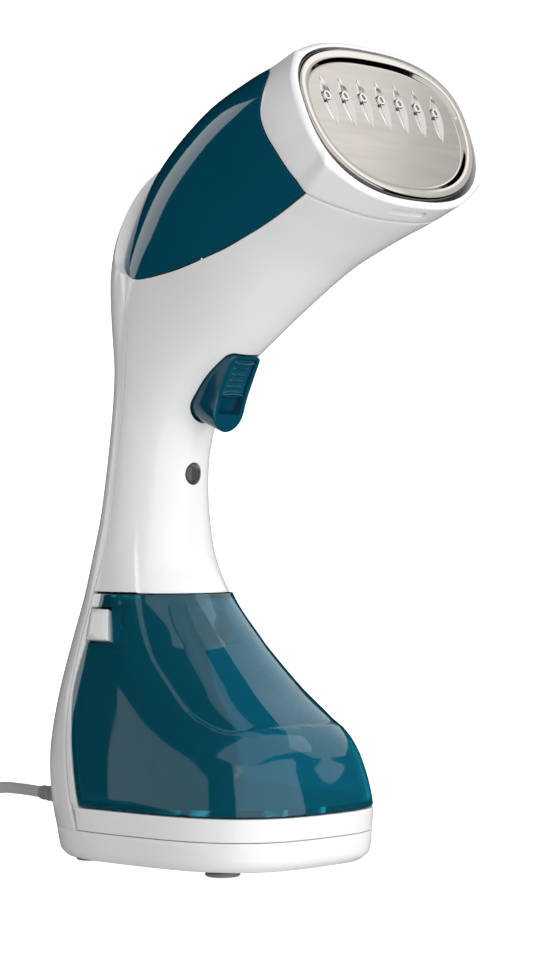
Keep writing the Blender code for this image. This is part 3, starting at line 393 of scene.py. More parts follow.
STEEL = brushed("bare_steel", (0.5, 0.5, 0.5), 0.3, (1, 1, 0.1), 0.004)
NICKEL = brushed("pin_nickel", (0.66, 0.62, 0.55), 0.16, (0.1, 1, 1), 0.002)
CASTING = brushed("cast_aluminium", (0.55, 0.55, 0.55), 0.5, (1, 1, 1), 0.05)


# ---- Mesh helpers ----


def new_object(name, data):
    made = bpy.data.objects.new(name, data)
    bpy.context.collection.objects.link(made)
    return made


def placed(name, data, body, replaced):
    """A piece in the scene, on its body and in the place of its CAD nodes."""
    made = new_object(name, data)
    if body:
        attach(made, body)
    if replaced:
        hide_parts(*replaced)
    return made


def piece(name, points, faces, finish, body, replaced=(), sharp=34.0):
    """A mesh object from design points and faces, riding on a body."""
    mesh = bpy.data.meshes.new(name)
    mesh.from_pydata([tuple(p) for p in world(points)], [], [tuple(f) for f in faces])
    mesh.update()
    shape = bmesh.new()
    shape.from_mesh(mesh)
    bmesh.ops.recalc_face_normals(shape, faces=shape.faces)
    if shape.calc_volume(signed=True) < 0:
        bmesh.ops.reverse_faces(shape, faces=shape.faces)
    shape.to_mesh(mesh)
    shape.free()
    mesh.shade_smooth()
    mesh.set_sharp_from_angle(angle=radians(sharp))
    mesh.materials.append(finish)
    return placed(name, mesh, body, replaced)


def grid_index(rows, columns, wrap):
    index = np.arange(rows * columns).reshape(rows, columns)
    return np.hstack((index, index[:, :1])) if wrap else index


def grid_quads(index):
    return np.stack((index[:-1, :-1], index[:-1, 1:], index[1:, 1:], index[1:, :-1]), axis=-1).reshape(-1, 4)


def sheet(name, outer, inner, finish, body, replaced=(), wrap=False, sharp=34.0):
    """A closed wall between two grids of points. With wrap, its columns run all the way round."""
    rows, columns = outer.shape[:2]
    count = rows * columns
    index = grid_index(rows, columns, wrap)
    faces = [grid_quads(index), grid_quads(index + count)[:, ::-1]]
    lines = [index[0], index[-1]] + ([] if wrap else [index[:, 0], index[:, -1]])
    for line in lines:
        faces.append(np.stack((line[:-1], line[1:], line[1:] + count, line[:-1] + count), axis=-1))
    points = np.vstack((outer.reshape(-1, 3), inner.reshape(-1, 3)))
    return piece(name, points, np.vstack(faces), finish, body, replaced, sharp)


def loft(name, rings, finish, body, replaced=(), sharp=34.0):
    """A closed solid through rings of equally many points, with a flat cap at each end."""
    rings = np.asarray(rings, float)
    rows, columns = rings.shape[:2]
    faces = [tuple(f) for f in grid_quads(grid_index(rows, columns, True))]
    faces.append(tuple(range(columns)))
    faces.append(tuple(range((rows - 1) * columns, rows * columns)))
    return piece(name, rings.reshape(-1, 3), faces, finish, body, replaced, sharp)


def rounded(profile, radius, steps=4):
    """A profile of 2-D points with its inner corners rounded."""
    knots = [np.array(p, float) for p in profile]
    line = [knots[0]]
    for before, here, after in zip(knots, knots[1:], knots[2:]):
        back, on = before - here, after - here
        reach = min(radius, norm(back) * 0.45, norm(on) * 0.45)
        a = here + back / max(norm(back), 1e-9) * reach
        b = here + on / max(norm(on), 1e-9) * reach
        for f in np.linspace(0, 1, steps + 1):
            line.append(a * (1 - f) ** 2 + here * 2 * f * (1 - f) + b * f * f)
    return line + [knots[-1]]


def turned(name, base, direction, profile, finish, body, replaced=(), radius=0.3, sides=56):
    """A solid of revolution: profile is (distance along the axis, radius) from end to end, and
    radius rounds its corners."""
    axis = Vector(direction).normalized()
    first = axis.orthogonal().normalized()
    second = axis.cross(first)
    turns = np.arange(sides) * 2 * pi / sides
    around = np.outer(np.cos(turns), first) + np.outer(np.sin(turns), second)
    rings = [np.array(base) + np.array(axis) * along + around * r for along, r in rounded(profile, radius)]
    return loft(name, rings, finish, body, replaced, 50)


def drill(base, direction, radius, length, finish, sides=56):
    """A round cutter."""
    return turned("drill", base, direction, [(0, radius), (length, radius)], finish, None, sides=sides)


def applied(thing, change):
    """Turns a modifier into the piece's mesh."""
    bpy.context.view_layer.objects.active = thing
    bpy.ops.object.modifier_apply(modifier=change.name)
    return thing


def bevel(thing, width, angle=50.0):
    """Rounds a piece's sharp edges, in its mesh."""
    change = thing.modifiers.new("edge", "BEVEL")
    change.width = width * MM
    change.segments = 2
    change.limit_method = "ANGLE"
    change.angle_limit = radians(angle)
    change.harden_normals = False
    return applied(thing, change)


def cut(thing, tools, operation="DIFFERENCE"):
    """Cuts closed tools from a piece, or joins them on, and takes the tools away."""
    for tool in tools:
        change = thing.modifiers.new("cut", "BOOLEAN")
        change.operation = operation
        change.solver = "EXACT"
        change.object = tool
        change.material_mode = "TRANSFER"
        applied(thing, change)
        bpy.data.objects.remove(tool, do_unlink=True)
    thing.data.shade_smooth()
    thing.data.set_sharp_from_angle(angle=radians(32))
    return thing


# ---- Camera, then the lead ----


def aim(thing, direction):
    thing.rotation_mode = "QUATERNION"
    thing.rotation_quaternion = direction.to_track_quat("-Z", "Y")


def make_camera():
    data = bpy.data.cameras.new("camera")
    data.sensor_width = 36
    data.lens = 36 * FOCAL
    data.clip_start, data.clip_end = 0.01, 50
    made = new_object("camera", data)
    made.location = (Vector((0, SET_BACK, VIEW_HEIGHT)) - AHEAD * VIEW_DISTANCE) * MM
    aim(made, AHEAD + RIGHT * LOOK_RIGHT + Vector((0, 0, LOOK_UP)))
    bpy.context.scene.camera = made


def coil_line(inner):
    """The wound cord, from where it meets the coil to where it lies on top. Its layers run inwards
    and outwards by turns, and each turns softly out of the one below."""
    radius_in, height = 39.2, 4.4
    angle = atan2(-33.4, 20.5)
    sweep = LAYER_TURNS * 2 * pi
    line = []
    for layer, z in enumerate(COIL_LAYERS):
        begin, end = (inner, COIL_OUTER) if layer % 2 else (COIL_OUTER, inner)
        for f in np.arange(80) / 80:
            blend_in = min(f * sweep / 0.9, 1)
            ease = blend_in * blend_in * (3 - 2 * blend_in)
            r = radius_in + (begin + (end - begin) * f - radius_in) * ease
            a = angle + f * sweep
            place = (r * cos(a), COIL_CENTRE[1] + r * sin(a), height + (z - height) * ease)
            line.append(place)
        angle += sweep
        radius_in, height = end, z
    return line


def lead_line(inner):
    """The whole lead from inside its boot, over the floor, round the coil and into the plug."""
    start = [along_lead(BOOT_END - 0.5), along_lead(BOOT_END + 12)]
    start += [(0, 119, 19.6), (1.5, 132, 15.4), (8, 144, 8.6)]
    x, y = COIL_CENTRE + (14, 4)
    loop = [(a, 0) for a in np.linspace(-0.9, 0.4, 4)] + [(0.9, 1.75), (1.3, 4.25)]
    tail = [(x + 20 * cos(a), y + 20 * sin(a), TOP_TURN_Z + rise) for a, rise in loop]
    tail += [(x - 0.3, y + 20, TOP_TURN_Z + PLUG_RISE)]
    return smooth_line(start + coil_line(inner)[::2] + tail, 8)


def make_lead():
    """The coil's inner radius is found by halving, so that the lead has its full length."""
    low, high = 12, 26.0
    for _ in range(24):
        middle = (low + high) / 2
        if line_length(lead_line(middle)) < CORD_LENGTH:
            low = middle
        else:
            high = middle
    route = spaced(lead_line((low + high) / 2), 3.2)
    path = bpy.data.curves.new("mains_lead", "CURVE")
    path.dimensions = "3D"
    path.bevel_depth = CORD_RADIUS * MM
    path.bevel_resolution = 6
    path.use_fill_caps = True
    line = path.splines.new("POLY")
    line.points.add(len(route) - 1)
    for spot, place in zip(line.points, world(route)):
        spot.co = (*place, 1)
    line.use_smooth = True
    path.materials.append(CORD)
    return placed("mains_lead", path, "steamer", ("power_cord", "cord_coil", "cord_tail")), route


def make_boot():
    """The tapered strain relief, ribbed so that it bends."""
    direction = along_lead(1) - along_lead(0)
    profile = [(0, 5.1), (2.4, 5.1), (2.4, 4.2), (8.4, 4.2), (8.4, 5.4), (10.8, 5.2), (10.8, 4.3)]
    for k in range(9):
        at = 12.6 + 2.9 * k
        size = 4.1 - 0.13 * k
        profile += [(at, size - 0.5), (at + 0.5, size), (at + 1.7, size - 0.05), (at + 2.2, size - 0.55)]
    profile += [(7 + BOOT_END - 1.2, 2.95), (7 + BOOT_END, 2.75)]
    base = along_lead(-7)
    return turned("lead_boot", base, direction, profile, BOOT, "steamer", ("strain_relief",), 0.25)


def make_plug():
    """A flat moulded mains plug with grip grooves, lying on the coil."""
    x, y, z = COIL_CENTRE[0] + 12.8, COIL_CENTRE[1] + 24, TOP_TURN_Z + PLUG_RISE
    knots = np.array([(0, 3.4, 3.4), (9, 4.6, 4.2), (12, 8, 6.2), (18, 12.4, 6.9), (24, 15.4, 7.1)])
    knots = np.vstack((knots, [(31, 16.5, 7.3), (38, 16.9, 7.3), (40.2, 16.7, 7.1), (41, 16, 6.7)]))
    stations = np.concatenate((np.linspace(0, 38, 60), (39, 40.2, 40.7, 41)))
    turns = np.arange(48) * 2 * pi / 48
    rings = []
    for along in stations:
        wide, high = (np.interp(along, knots[:, 0], knots[:, k]) for k in (1, 2))
        groove = 0.35 * max(0, sin((along - 14) * 2 * pi / 2.6)) if 14 < along < 27 else 0
        power = 2 / (2 + 1.1 * min(max((along - 9) / 10, 0), 1))
        ys = y + (wide - groove) * signed_power(np.cos(turns), power)
        zs = z + (high - groove * 0.4) * signed_power(np.sin(turns), power)
        rings.append(np.stack((np.full(48, x - along), ys, zs), axis=1))
    body = loft("mains_plug", rings, CORD, "steamer", ("plug_body",))
    pins = []
    for k, side in enumerate((-1, 1)):
        place = (x - 41.05, y + side * 9.5, z)
        profile = [(0, 2.4), (17.2, 2.4), (19.2, 1.4)]
        name = f"plug_pin_{k + 1}"
        pins.append(turned(f"{name}_round", place, (-1, 0, 0), profile, NICKEL, "steamer", (name,), 0.5, 32))
    return [body] + pins


def make_tie():
    """A strap round the coil's turns."""
    low, high = COIL_CENTRE[1] - 36.6, COIL_CENTRE[1] - 16.4
    bottom, top = 0.7, 16.0
    start = (low + 8, bottom)
    corners = [start, (high, bottom), (high, top), (low, top), (low, bottom), start]
    loop = spaced(np.array([(0, a, b) for a, b in rounded(corners, 4, 6)]), 1.2)[:-1]
    middle = np.array((0, (low + high) / 2, (bottom + top) / 2))
    away = (loop - middle) / norm(loop - middle, axis=1)[:, None]
    across = np.linspace(-3, 3, 5)[:, None, None] * (1, 0, 0)
    wall = [loop + grow * away + across for grow in (0.6, -0.1)]
    return sheet("lead_tie", *wall, BLACK, "steamer", ("cord_tie",), wrap=True)


make_camera()
lead, lead_route = make_lead()
boot = make_boot()
plug = make_plug()
tie = make_tie()

# ---- Outer shells ----


def rows(*spans):
    """Values in even steps, over one stretch after another."""
    return np.concatenate([np.linspace(a, b, round((b - a) / step) + 1) for a, b, step in spans])


def nearest(points, line):
    """How far each point of a grid is from a line of points."""
    reach = np.empty(points.shape[:-1])
    for i, row in enumerate(points):
        reach[i] = norm(row[:, None] - line[None], axis=-1).min(axis=1)
    return reach


def from_line(t, phi, line):
    """How far each place is from a line on the skin or from its mirror image."""
    both = [skin(line[:, 0], sign * line[:, 1]) for sign in (-1, 1)]
    return nearest(skin(t, phi), np.vstack(both))


def panel_share(t, phi):
    """0 outside the bevel round the front panel, rising across the bevel to 1, and 2 on the panel."""
    around = from_back(phi)
    inside, reach = [], []
    for edge in (BEVEL, BIB):
        line = edge_line(edge)
        turn = line[:, 1].argmin()
        side, lower = line[: turn + 1][::-1], line[turn:]
        above = t > np.interp(around, lower[:, 1], lower[:, 0])
        within = around > np.where(t > side[0, 0], np.interp(t, side[:, 0], side[:, 1]), line[turn, 1])
        inside.append(above & within)
        reach.append(from_line(t, phi, line))
    slope = np.where(inside[0], reach[0] / (reach[0] + reach[1] + 1e-9), 0)
    return np.where(inside[1], 1 + np.clip(reach[1] / STEP_WIDTH, 0, 1), slope)


def front_panel(t, phi):
    """How deep the front panel lies: a bevel and a step on the tank, fading out up the handle."""
    on_handle = t > T_TANK_TOP
    fade = np.clip((T_SHOULDER_END - t) / (T_SHOULDER_END - T_TANK_TOP), 0, 1)
    share = panel_share(t, phi)
    bevelled = np.where(on_handle, 0, BEVEL_DEPTH) * np.clip(share, 0, 1)
    stepped = np.where(on_handle, SHOULDER_DEPTH * fade, STEP_DEPTH) * np.clip(share - 1, 0, 1)
    return -(bevelled + stepped)


def on_skin(
    name, ts, lows, highs, columns, finish, replaced, shape=None, level=(0,), follow=False, body="steamer"
):
    """A wall on the skin, whose row at t runs from one angle to another.

    A level row is cut off flat, at one height. With follow the last rows take the collar's edge.
    """
    lows, highs = np.broadcast_to(lows, ts.shape), np.broadcast_to(highs, ts.shape)
    phi = lows[:, None] + (highs - lows)[:, None] * np.linspace(0, 1, columns)
    t = np.repeat(ts[:, None], columns, axis=1)
    if follow:
        share = np.clip((t - 17) / (ts[-1] - 17), 0, 1)
        t = t + share * (collar_edge(phi) - T_SEAM - ts[-1])
    proud = shape(t, phi) if shape else np.zeros(t.shape)
    outer, inner = off_skin(t, phi, proud), off_skin(t, phi, np.minimum(proud, 0) - WALL)
    for row in level:
        inner[row, :, 2] = outer[row, 0, 2]
    return sheet(name, outer, inner, finish, body, replaced)


def hump(t, phi):
    """How far the back shell stands out: a tongue up the back that swells, then sinks in again."""
    swell = np.sin(pi * np.clip((t - HUMP_START) / HUMP_LENGTH, 0, 1)) ** 2
    middle = np.cos(np.radians(np.minimum(np.abs(phi) * 1.3, 90))) ** 0.5
    return HUMP * swell * middle


def make_rear_shell():
    ts = rows((2.04, 14.3, 0.1), (14.33, 15.93, 0.035))
    edge = on_edge(REAR_EDGE + TONGUE_EDGE[1:], ts) - 0.5
    shell = on_skin("back_shell", ts, -edge, edge, 91, WHITE, ("rear_shell",), hump)
    bevel(shell, 0.35)
    return cut(shell, [drill((0, 50, CORD_EXIT_Z), BACKWARDS, 4.6, 20, WHITE)])


def to_cover_edge(t, phi):
    """How far each place is from the seam between the cover and the handle."""
    return from_line(t, phi, edge_line(COVER_EDGE))


def flare_fade(t):
    return np.clip((t - 15.2) / 1.6, 0, 1)


def front_shape(t, phi):
    """The front panel low on the handle, and the ridge where the handle meets the cover."""
    ridge = FLARE * flare_fade(t) * np.exp(-to_cover_edge(t, phi) / 7.5)
    return front_panel(t, phi) + ridge


def make_front_shell():
    low_rows = ((T_TANK_TOP + 2 * T_SEAM, 14.4, 0.08), (14.44, T_COVER_START - 0.01, 0.035))
    ts = rows(*low_rows, (T_COVER_START, 15.1, 0.02), (15.15, 18.83, 0.06))
    low = np.where(ts < T_COVER_START, on_edge(REAR_EDGE, ts), on_edge(COVER_EDGE, ts)) + 0.75
    nodes = ("front_shell",)
    shell = on_skin("handle_shell", ts, low, 360 - low, 181, WHITE, nodes, front_shape, follow=True)
    bevel(shell, 0.35)
    downs, half = trigger_downs(0.8), 1.053 * trigger_half_width(trigger_downs(0))
    slot = trigger_block("slot", downs, half, 0 * downs + 8, -6 - TRIGGER_DEPTH, WHITE)
    return cut(shell, [drill((0, 0, LENS_Z), BACKWARDS, 4.3, 20, WHITE), slot])


def make_top_cover():
    """The cover arches over the back shell's tongue: rows run round the arch, columns across it."""
    tip = T_COVER_START + 0.28 * np.linspace(0, 1, 24) ** 2
    side = np.concatenate((tip + 0.02, rows((15.1, 18, 0.05))))
    outer = np.stack((side, -on_edge(COVER_EDGE, side)), axis=1)
    phi = np.linspace(-129.5, 0, 90)
    outer = np.vstack((outer, np.stack((collar_edge(phi) - T_SEAM, phi), axis=1)))
    side = np.concatenate((tip + 0.02, rows((15.1, 15.9, 0.03))))
    inner = np.vstack((np.stack((side, -on_edge(TONGUE_EDGE, side) - 1.2), axis=1), [(15.99, -4), (16, 0)]))
    halves = (even(line * EDGE_SCALE, 110) / EDGE_SCALE for line in (outer, inner))
    outer, inner = (np.vstack((half, (half * (1, -1))[-2::-1])) for half in halves)
    share = np.linspace(0, 1, 34)[None, :, None]
    spots = inner[:, None] * (1 - share) + outer[:, None] * share
    t, phi = spots[..., 0], spots[..., 1]
    proud = FLARE * flare_fade(t) * np.clip(1 - to_cover_edge(t, phi) / FLARE_WIDTH, 0, 1)
    wall = (off_skin(t, phi, proud), off_skin(t, phi, np.minimum(proud, 0) - WALL))
    cover = sheet("crown_cover", *wall, TEAL, "steamer", ("top_cover",))
    return bevel(cover, 0.3)


def crease(t, phi, share):
    """The collar's ridges: a crisp one above, and below one that carries on the cover's edge."""
    around = from_back(phi)
    reach = section_at(t)[..., 3] * radians(1)
    upper = 1.4 * np.exp(-np.abs(around - 50) * reach / 4.5) * (0.4 + 0.6 * share)
    past = (around - (130 - 8 * share)) * reach
    width = FLARE_WIDTH - 1.8 * share
    lower = np.where(past < 0, np.clip(1 + past / width, 0, 1), np.exp(-past / 7.5))
    return upper + FLARE * (1 + 0.3 * share) * lower


def make_collar():
    """The ring that frames the plate, with a narrow slot underneath for an attachment's catch."""
    phi = np.arange(0, 360, 1.5)
    start = collar_edge(phi) + T_SEAM
    share = np.array((0, 0.1, 0.25, 0.4, 0.55, 0.7, 0.8, 0.84, 0.86, 0.89, 0.93, 0.97, 0.99, 1))[:, None]
    inset = np.array((0, 0, 0, 0, 0, 0, 0, 0, 0.05, 0.22, 0.66, 1.2, 1.55, 1.9))[:, None]
    t = start + share * (T_FACE - start)
    angle = np.broadcast_to(phi, t.shape)
    proud = crease(t, angle, share) - inset
    wall = (off_skin(t, angle, proud), off_skin(t, angle, np.full(t.shape, -2.35)))
    collar = sheet("plate_collar", *wall, WHITE, "steamer", ("head_collar",), wrap=True, sharp=40)
    bevel(collar, 0.3)
    catch = loft("catch", slot_rings((0, -95, 234.2), 9.7, 1.5, 12), WHITE, None)
    return cut(collar, [catch])


def slot_rings(centre, half_length, half_width, depth):
    """Two rounded outlines across X and Y, above and below a place."""
    corner = half_width * 0.9
    outline = []
    for sx, sy, turn in ((1, 1, 0), (-1, 1, 90), (-1, -1, 180), (1, -1, 270)):
        for a in np.radians(turn + np.arange(0, 120, 30)):
            x = sx * (half_length - corner) + corner * cos(a)
            outline.append((x, sy * (half_width - corner) + corner * sin(a), 0))
    return [np.array(outline) + centre + (0, 0, h) for h in (-depth, depth)]


# ---- Base and tank ----


def flat_ring(t, z, inset):
    """The skin's outline at t, drawn in by inset and moved to height z."""
    ring = off_skin(t, np.arange(0, 360, 1.5), -inset)
    ring[:, 2] = z
    return ring


def make_base_cover():
    """A shallow pan with rounded lower edges and a lip that stands inside the shells above it."""
    levels = [(0, 4.2, 3), (1, 5.4, WALL), (1.7, 9.6, WALL), (T_BASE_SEAM, 10.4, 3.9)]
    levels += [(T_BASE_SEAM, 14.2, 3.9), (T_BASE_SEAM, 14.2, 2.5), (T_BASE_SEAM, 12.75, 2.45)]
    levels += [(T_BASE_SEAM, 12.75, 0.4), (T_BASE_SEAM, 12.65, 0.12), (T_BASE_SEAM, 12.4, 0.02)]
    levels += [(1.75, 10, 0), (1.5, 8, 0), (1.25, 6.2, 0), (1, 4.6, 0), (0.6, 3.5, 0.05)]
    levels += [(0.3, 2.75, 0.15), (0.05, 2.2, 0.45), (0, 1.92, 0.95), (0, 1.8, 1.7)]
    rings = [flat_ring(*level) for level in levels]
    pan = loft("base_pan", rings, WHITE_BASE, "steamer", ("base_cover",), 42)
    return cut(pan, [drill((*place, 0), UPWARDS, 3.2, 8, WHITE_BASE) for place in SCREW_PLACES])


def make_feet():
    for k, (x, y, radius) in enumerate(FOOT_PLACES):
        profile = [(0, -0.7), (0.45, 0), (0.9, 0), (1, -0.2), (1.2, -0.2), (1.3, 0), (1.45, 0)]
        profile = [(height, radius + grow) for height, grow in profile]
        name = f"foot_{k + 1}"
        turned(f"{name}_pad", (x, y, 0), UPWARDS, profile, FOOT, "steamer", (name,), 0.15)


def tank_swell(t, phi):
    """The tank's upper edge stands proud of the handle at the front and sides."""
    rise = np.clip((t - 6.9) / (T_TANK_TOP - 6.9), 0, None)
    side = np.clip((np.abs(180 - phi) - 70) / 30, 0, 1)
    return 2.8 * rise * (1 - side)


def tank_rings(ts, inset):
    """The tank at each t: an arc of the skin, closed by a straight wall at the back."""
    edge = on_edge(TANK_EDGE, ts)
    phi = edge[:, None] + (360 - 2 * edge)[:, None] * np.linspace(0, 1, 320)
    t = np.broadcast_to(ts[:, None], phi.shape)
    arc = off_skin(t, phi, tank_swell(t, phi) + front_panel(t, phi) - inset)
    back = skin(ts, edge)[:, 1] - inset
    arc[..., 1] = np.minimum(arc[..., 1], back[:, None])
    arc[..., 2] = section_at(ts)[:, 1][:, None]
    share = np.linspace(0, 1, 28)[None, 1:-1, None]
    wall = arc[:, -1:] * (1 - share) + arc[:, :1] * share
    return np.concatenate((arc, wall), axis=1)


def side_patch(name, side, phis, heights, depths, finish, body, replaced=(), shape=None, count=25):
    """A piece of the skin on one side of the tank, between two angles, heights and depths."""
    z, angle = np.meshgrid(np.linspace(*heights, count), np.linspace(*phis, count), indexing="ij")
    t, phi = height_to_t(z), side * angle
    proud = depths[0] + (shape(z, angle) if shape else 0 * z)
    wall = (off_skin(t, phi, proud), off_skin(t, phi, 0 * z + depths[1]))
    return sheet(name, *wall, finish, body, replaced)


def pocket_tools(finish):
    """Cutters for the pockets that the two latches sit in."""
    return [side_patch(f"pocket_{side}", side, *POCKETS, finish, None) for side in (-1, 1)]


def make_tank():
    ts = rows((T_TANK_FLOOR, T_TANK_TOP, 0.035))
    tank = loft("clear_tank", tank_rings(ts, 0), CLEAR, "tank", ("water_tank",), 30)
    bevel(tank, 0.45, 40)
    inner = tank_rings(ts, TANK_WALL)
    inner[0, :, 2] = section_at(T_TANK_FLOOR)[1] + TANK_WALL
    ceiling = section_at(T_TANK_TOP)[1] - TANK_WALL
    for k in range(1, len(ts)):
        least, most = inner[0, 0, 2] + 0.02 * k, ceiling - 0.02 * (len(ts) - k)
        inner[k, :, 2] = np.clip(inner[k, :, 2], least, most)
    space = loft("water_space", inner, CLEAR, None)
    keeps = []
    for side in (-1, 1):
        near, far = sorted((side * 20.5, side * 50))
        rings = [[(near, 17, z), (far, 17, z), (far, 60, z), (near, 60, z)] for z in (79.8, 110)]
        keeps.append(loft(f"pocket_wall_{side}", rings, CLEAR, None))
    cut(space, keeps)
    tools = [space] + pocket_tools(CLEAR)
    tools.append(drill((0, FILLER_Y, 90), UPWARDS, 7, 14, CLEAR))
    tools.append(drill((0, 22, OUTLET_Z), BACKWARDS, 4.3, 12, CLEAR))
    return cut(tank, tools)


def button_face(z, angle):
    """A squeeze button's face: two facets that meet in an upright ridge, rounded at its edges."""
    up = (z - 83) / 11.4
    round_it = (angle - 73.5) / 15.5
    ridge = 1 - np.abs(round_it - 0.52) * 1.6
    edges = np.clip(np.minimum(np.minimum(up, 1 - up) * 7, np.minimum(round_it, 1 - round_it) * 7), 0, 1)
    return 1.5 * ridge * np.sqrt(edges) * (0.75 + 0.25 * (1 - up))


def make_latches():
    for side, word in ((-1, "left"), (1, "right")):
        name, body = f"tank_latch_{word}", f"latch_{word}"
        place = ((73.5, 89), (83, 94.4), (0.7, -3.6))
        button = side_patch(f"{name}_button", side, *place, WHITE, body, (name,), button_face)
        bevel(button, 0.3)
        place = ((79, 87), (87.5, 90), (-6.4, -6.9))
        name = f"latch_spring_{word}"
        side_patch(f"{name}_leaf", side, *place, STEEL, "tank", (name,), None, 9)


def make_tank_fittings():
    profile = [(0, 5.6), (2.4, 6.65), (4, 6.65), (4.6, 6.2), (4.6, 3.2), (4.1, 3), (4.1, 0.6)]
    turned("filler_bung", (0, FILLER_Y, 95.4), UPWARDS, profile, SEAL, "tank", ("tank_bung",))
    profile = [(0, 3.4), (1.2, 3.95), (3.4, 3.95), (3.5, 3.7), (4.1, 3.7), (4.2, 3.95)]
    profile += [(6.6, 3.95), (8.4, 3)]
    turned("outlet_valve", (0, 24.6, OUTLET_Z), BACKWARDS, profile, GREY, "tank", ("tank_valve",), 0.2)


def cheek_drop(t, phi):
    """The foot of a cheek stands deeper, inside the dock."""
    return np.where(t <= T_TANK_FLOOR, -0.6, 0 * phi)


def make_dock():
    """The white band under the tank, the floor it stands on, and the wall and strips behind it."""
    ts = rows((T_BASE_SEAM + 2 * T_SEAM, T_TANK_FLOOR - 2 * T_SEAM, 0.06))
    dock = on_skin("tank_seat", ts, 72, 288, 221, WHITE_BASE, ("tank_dock",), level=(0, -1))
    bevel(dock, 0.35)
    outline = off_skin(height_to_t(DECK_Z), np.linspace(82, 278, 121), -1.1)
    outline = np.vstack((outline, [(-37.5, 27, 0), (-37.5, 36, 0), (37.5, 36, 0), (37.5, 27, 0)]))
    rings = [outline * (1, 1, 0) + (0, 0, z) for z in (DECK_Z, DECK_Z + 1.8)]
    joined = [loft("dock_floor", rings, WHITE_BASE, None)]
    ts = rows((height_to_t(20.4), T_TANK_TOP, 0.12))
    z = section_at(ts)[:, 1]
    half = np.abs(skin(ts, on_edge(TANK_EDGE, ts))[:, 0]) - np.where(z > 77, 10.5, 1.6)
    later = np.maximum(ts, T_TANK_FLOOR)
    y = skin(later, on_edge(TANK_EDGE, later))[:, 1] + 0.8
    share = np.linspace(-1, 1, 21)
    front = np.stack((half[:, None] * share, y[:, None] + 0 * share, z[:, None] + 0 * share), axis=-1)
    joined.append(sheet("dock_wall", front, front + (0, 1.7, 0), WHITE_BASE, None))
    ts = np.concatenate(([T_TANK_FLOOR - 0.15], rows((T_TANK_FLOOR, T_TANK_TOP, 0.08))))
    for side in (-1, 1):
        low, high = on_edge(REAR_EDGE, ts) + 0.9, on_edge(TANK_EDGE, ts) - 1.1
        span = (ts, side * low, side * high, 9)
        cheek = on_skin(f"cheek_{side}", *span, WHITE_BASE, (), cheek_drop, (0, -1), body=None)
        joined.append(bevel(cheek, 0.2))
    cut(dock, joined, "UNION")
    return cut(dock, [drill((0, 27, OUTLET_Z), BACKWARDS, 6.1, 8, WHITE_BASE)] + pocket_tools(WHITE_BASE))


# ---- Head ----


def plate_ring(inset, out):
    """The plate's outline drawn in by inset, flatter at its top than at its foot."""
    a = np.radians(np.arange(0, 360, 1.8))
    upper = np.sin(a) > 0
    power = 2 / np.where(upper, 2.6, 2.26)
    depth = np.where(upper, PLATE_ABOVE, PLATE_BELOW) - inset
    x = (PLATE_HALF_WIDTH - inset) * signed_power(np.cos(a), power)
    return head_point(x, depth * signed_power(np.sin(a), power), out)


def leaf_places():
    """x, height and lean of each leaf: the row bows upwards and the leaves fan out a little."""
    places = []
    for step in range(-3, 4):
        places.append((step * NOZZLE_PITCH, NOZZLE_HEIGHT - 0.175 * step * step, 0.03 * step))
    return places


def leaf_tool(name, x, up, lean):
    """A cutter for one leaf-shaped hollow: pointed at both ends, with two flanks that meet in a crease."""
    across = np.array((-1.3, -0.65, -0.33, -0.09, -0.06, 0.06, 0.09, 0.33, 0.65, 1.3, 1.4, 0, -1.4))
    sunk = np.array((0.3, -0.35, -0.67, -0.93, -1.3, -1.3, -0.93, -0.67, -0.35, 0.3, 1, 1, 1))
    rings = []
    for f in np.linspace(0.012, 0.987, 40):
        wide = LEAF_HALF_WIDTH * sin(pi * f) ** 0.9
        along = -LEAF_BELOW + f * (LEAF_ABOVE + LEAF_BELOW)
        out = -PANEL_DEPTH + LEAF_DEPTH * sunk * sin(pi * f) ** 0.7
        rings.append(head_point(x + wide * across + lean * along, up + along, out))
    return loft(name, rings, LEAF, None)


def make_plate():
    """A stamped plate: polished rim, brushed panel, seven leaves and a steam hole in each."""
    rim = [(0.8, -3), (0.2, -3), (0, -2.7), (0, -0.6), (0.08, -0.25), (0.3, 0.08), (0.65, 0.3)]
    rim += [(1, 0.38), (1.4, 0.4), (2.4, 0.38), (3.3, 0.36), (3.6, 0.3), (3.9, 0.08), (4.3, -0.4)]
    rim += [(4.7, -0.82), (5, -0.97), (5.4, -PANEL_DEPTH)]
    plate = loft("stamped_plate", [plate_ring(*at) for at in rim], RIM, "steamer", ("steam_plate",), 50)
    plate.data.materials.append(PANEL)
    plate.data.polygons[-1].material_index = 1
    places = leaf_places()
    cut(plate, [leaf_tool(f"leaf_{k}", *place) for k, place in enumerate(places)])
    away = head_point(0, 0, 1) - head_point(0, 0, 0)
    dome = [(0, 2), (0.85, 2), (1.15, 1.9), (1.3, 1.65), (1.3, 1.2), (1.2, 1), (0.9, 0.92), (0.3, 0.9)]
    domes = []
    for k, (x, up, _) in enumerate(places):
        base = head_point(x, up, -PANEL_DEPTH - LEAF_DEPTH - 0.05)
        domes.append(turned(f"dome_{k}", base, away, dome, LEAF, None, radius=0.15, sides=40))
    cut(plate, domes, "UNION")
    shape = bmesh.new()
    shape.from_mesh(plate.data)
    for edge in shape.edges:
        if len({face.material_index for face in edge.link_faces}) > 1:
            edge.smooth = False
    shape.to_mesh(plate.data)
    shape.free()
    return plate


# ---- Handle ----


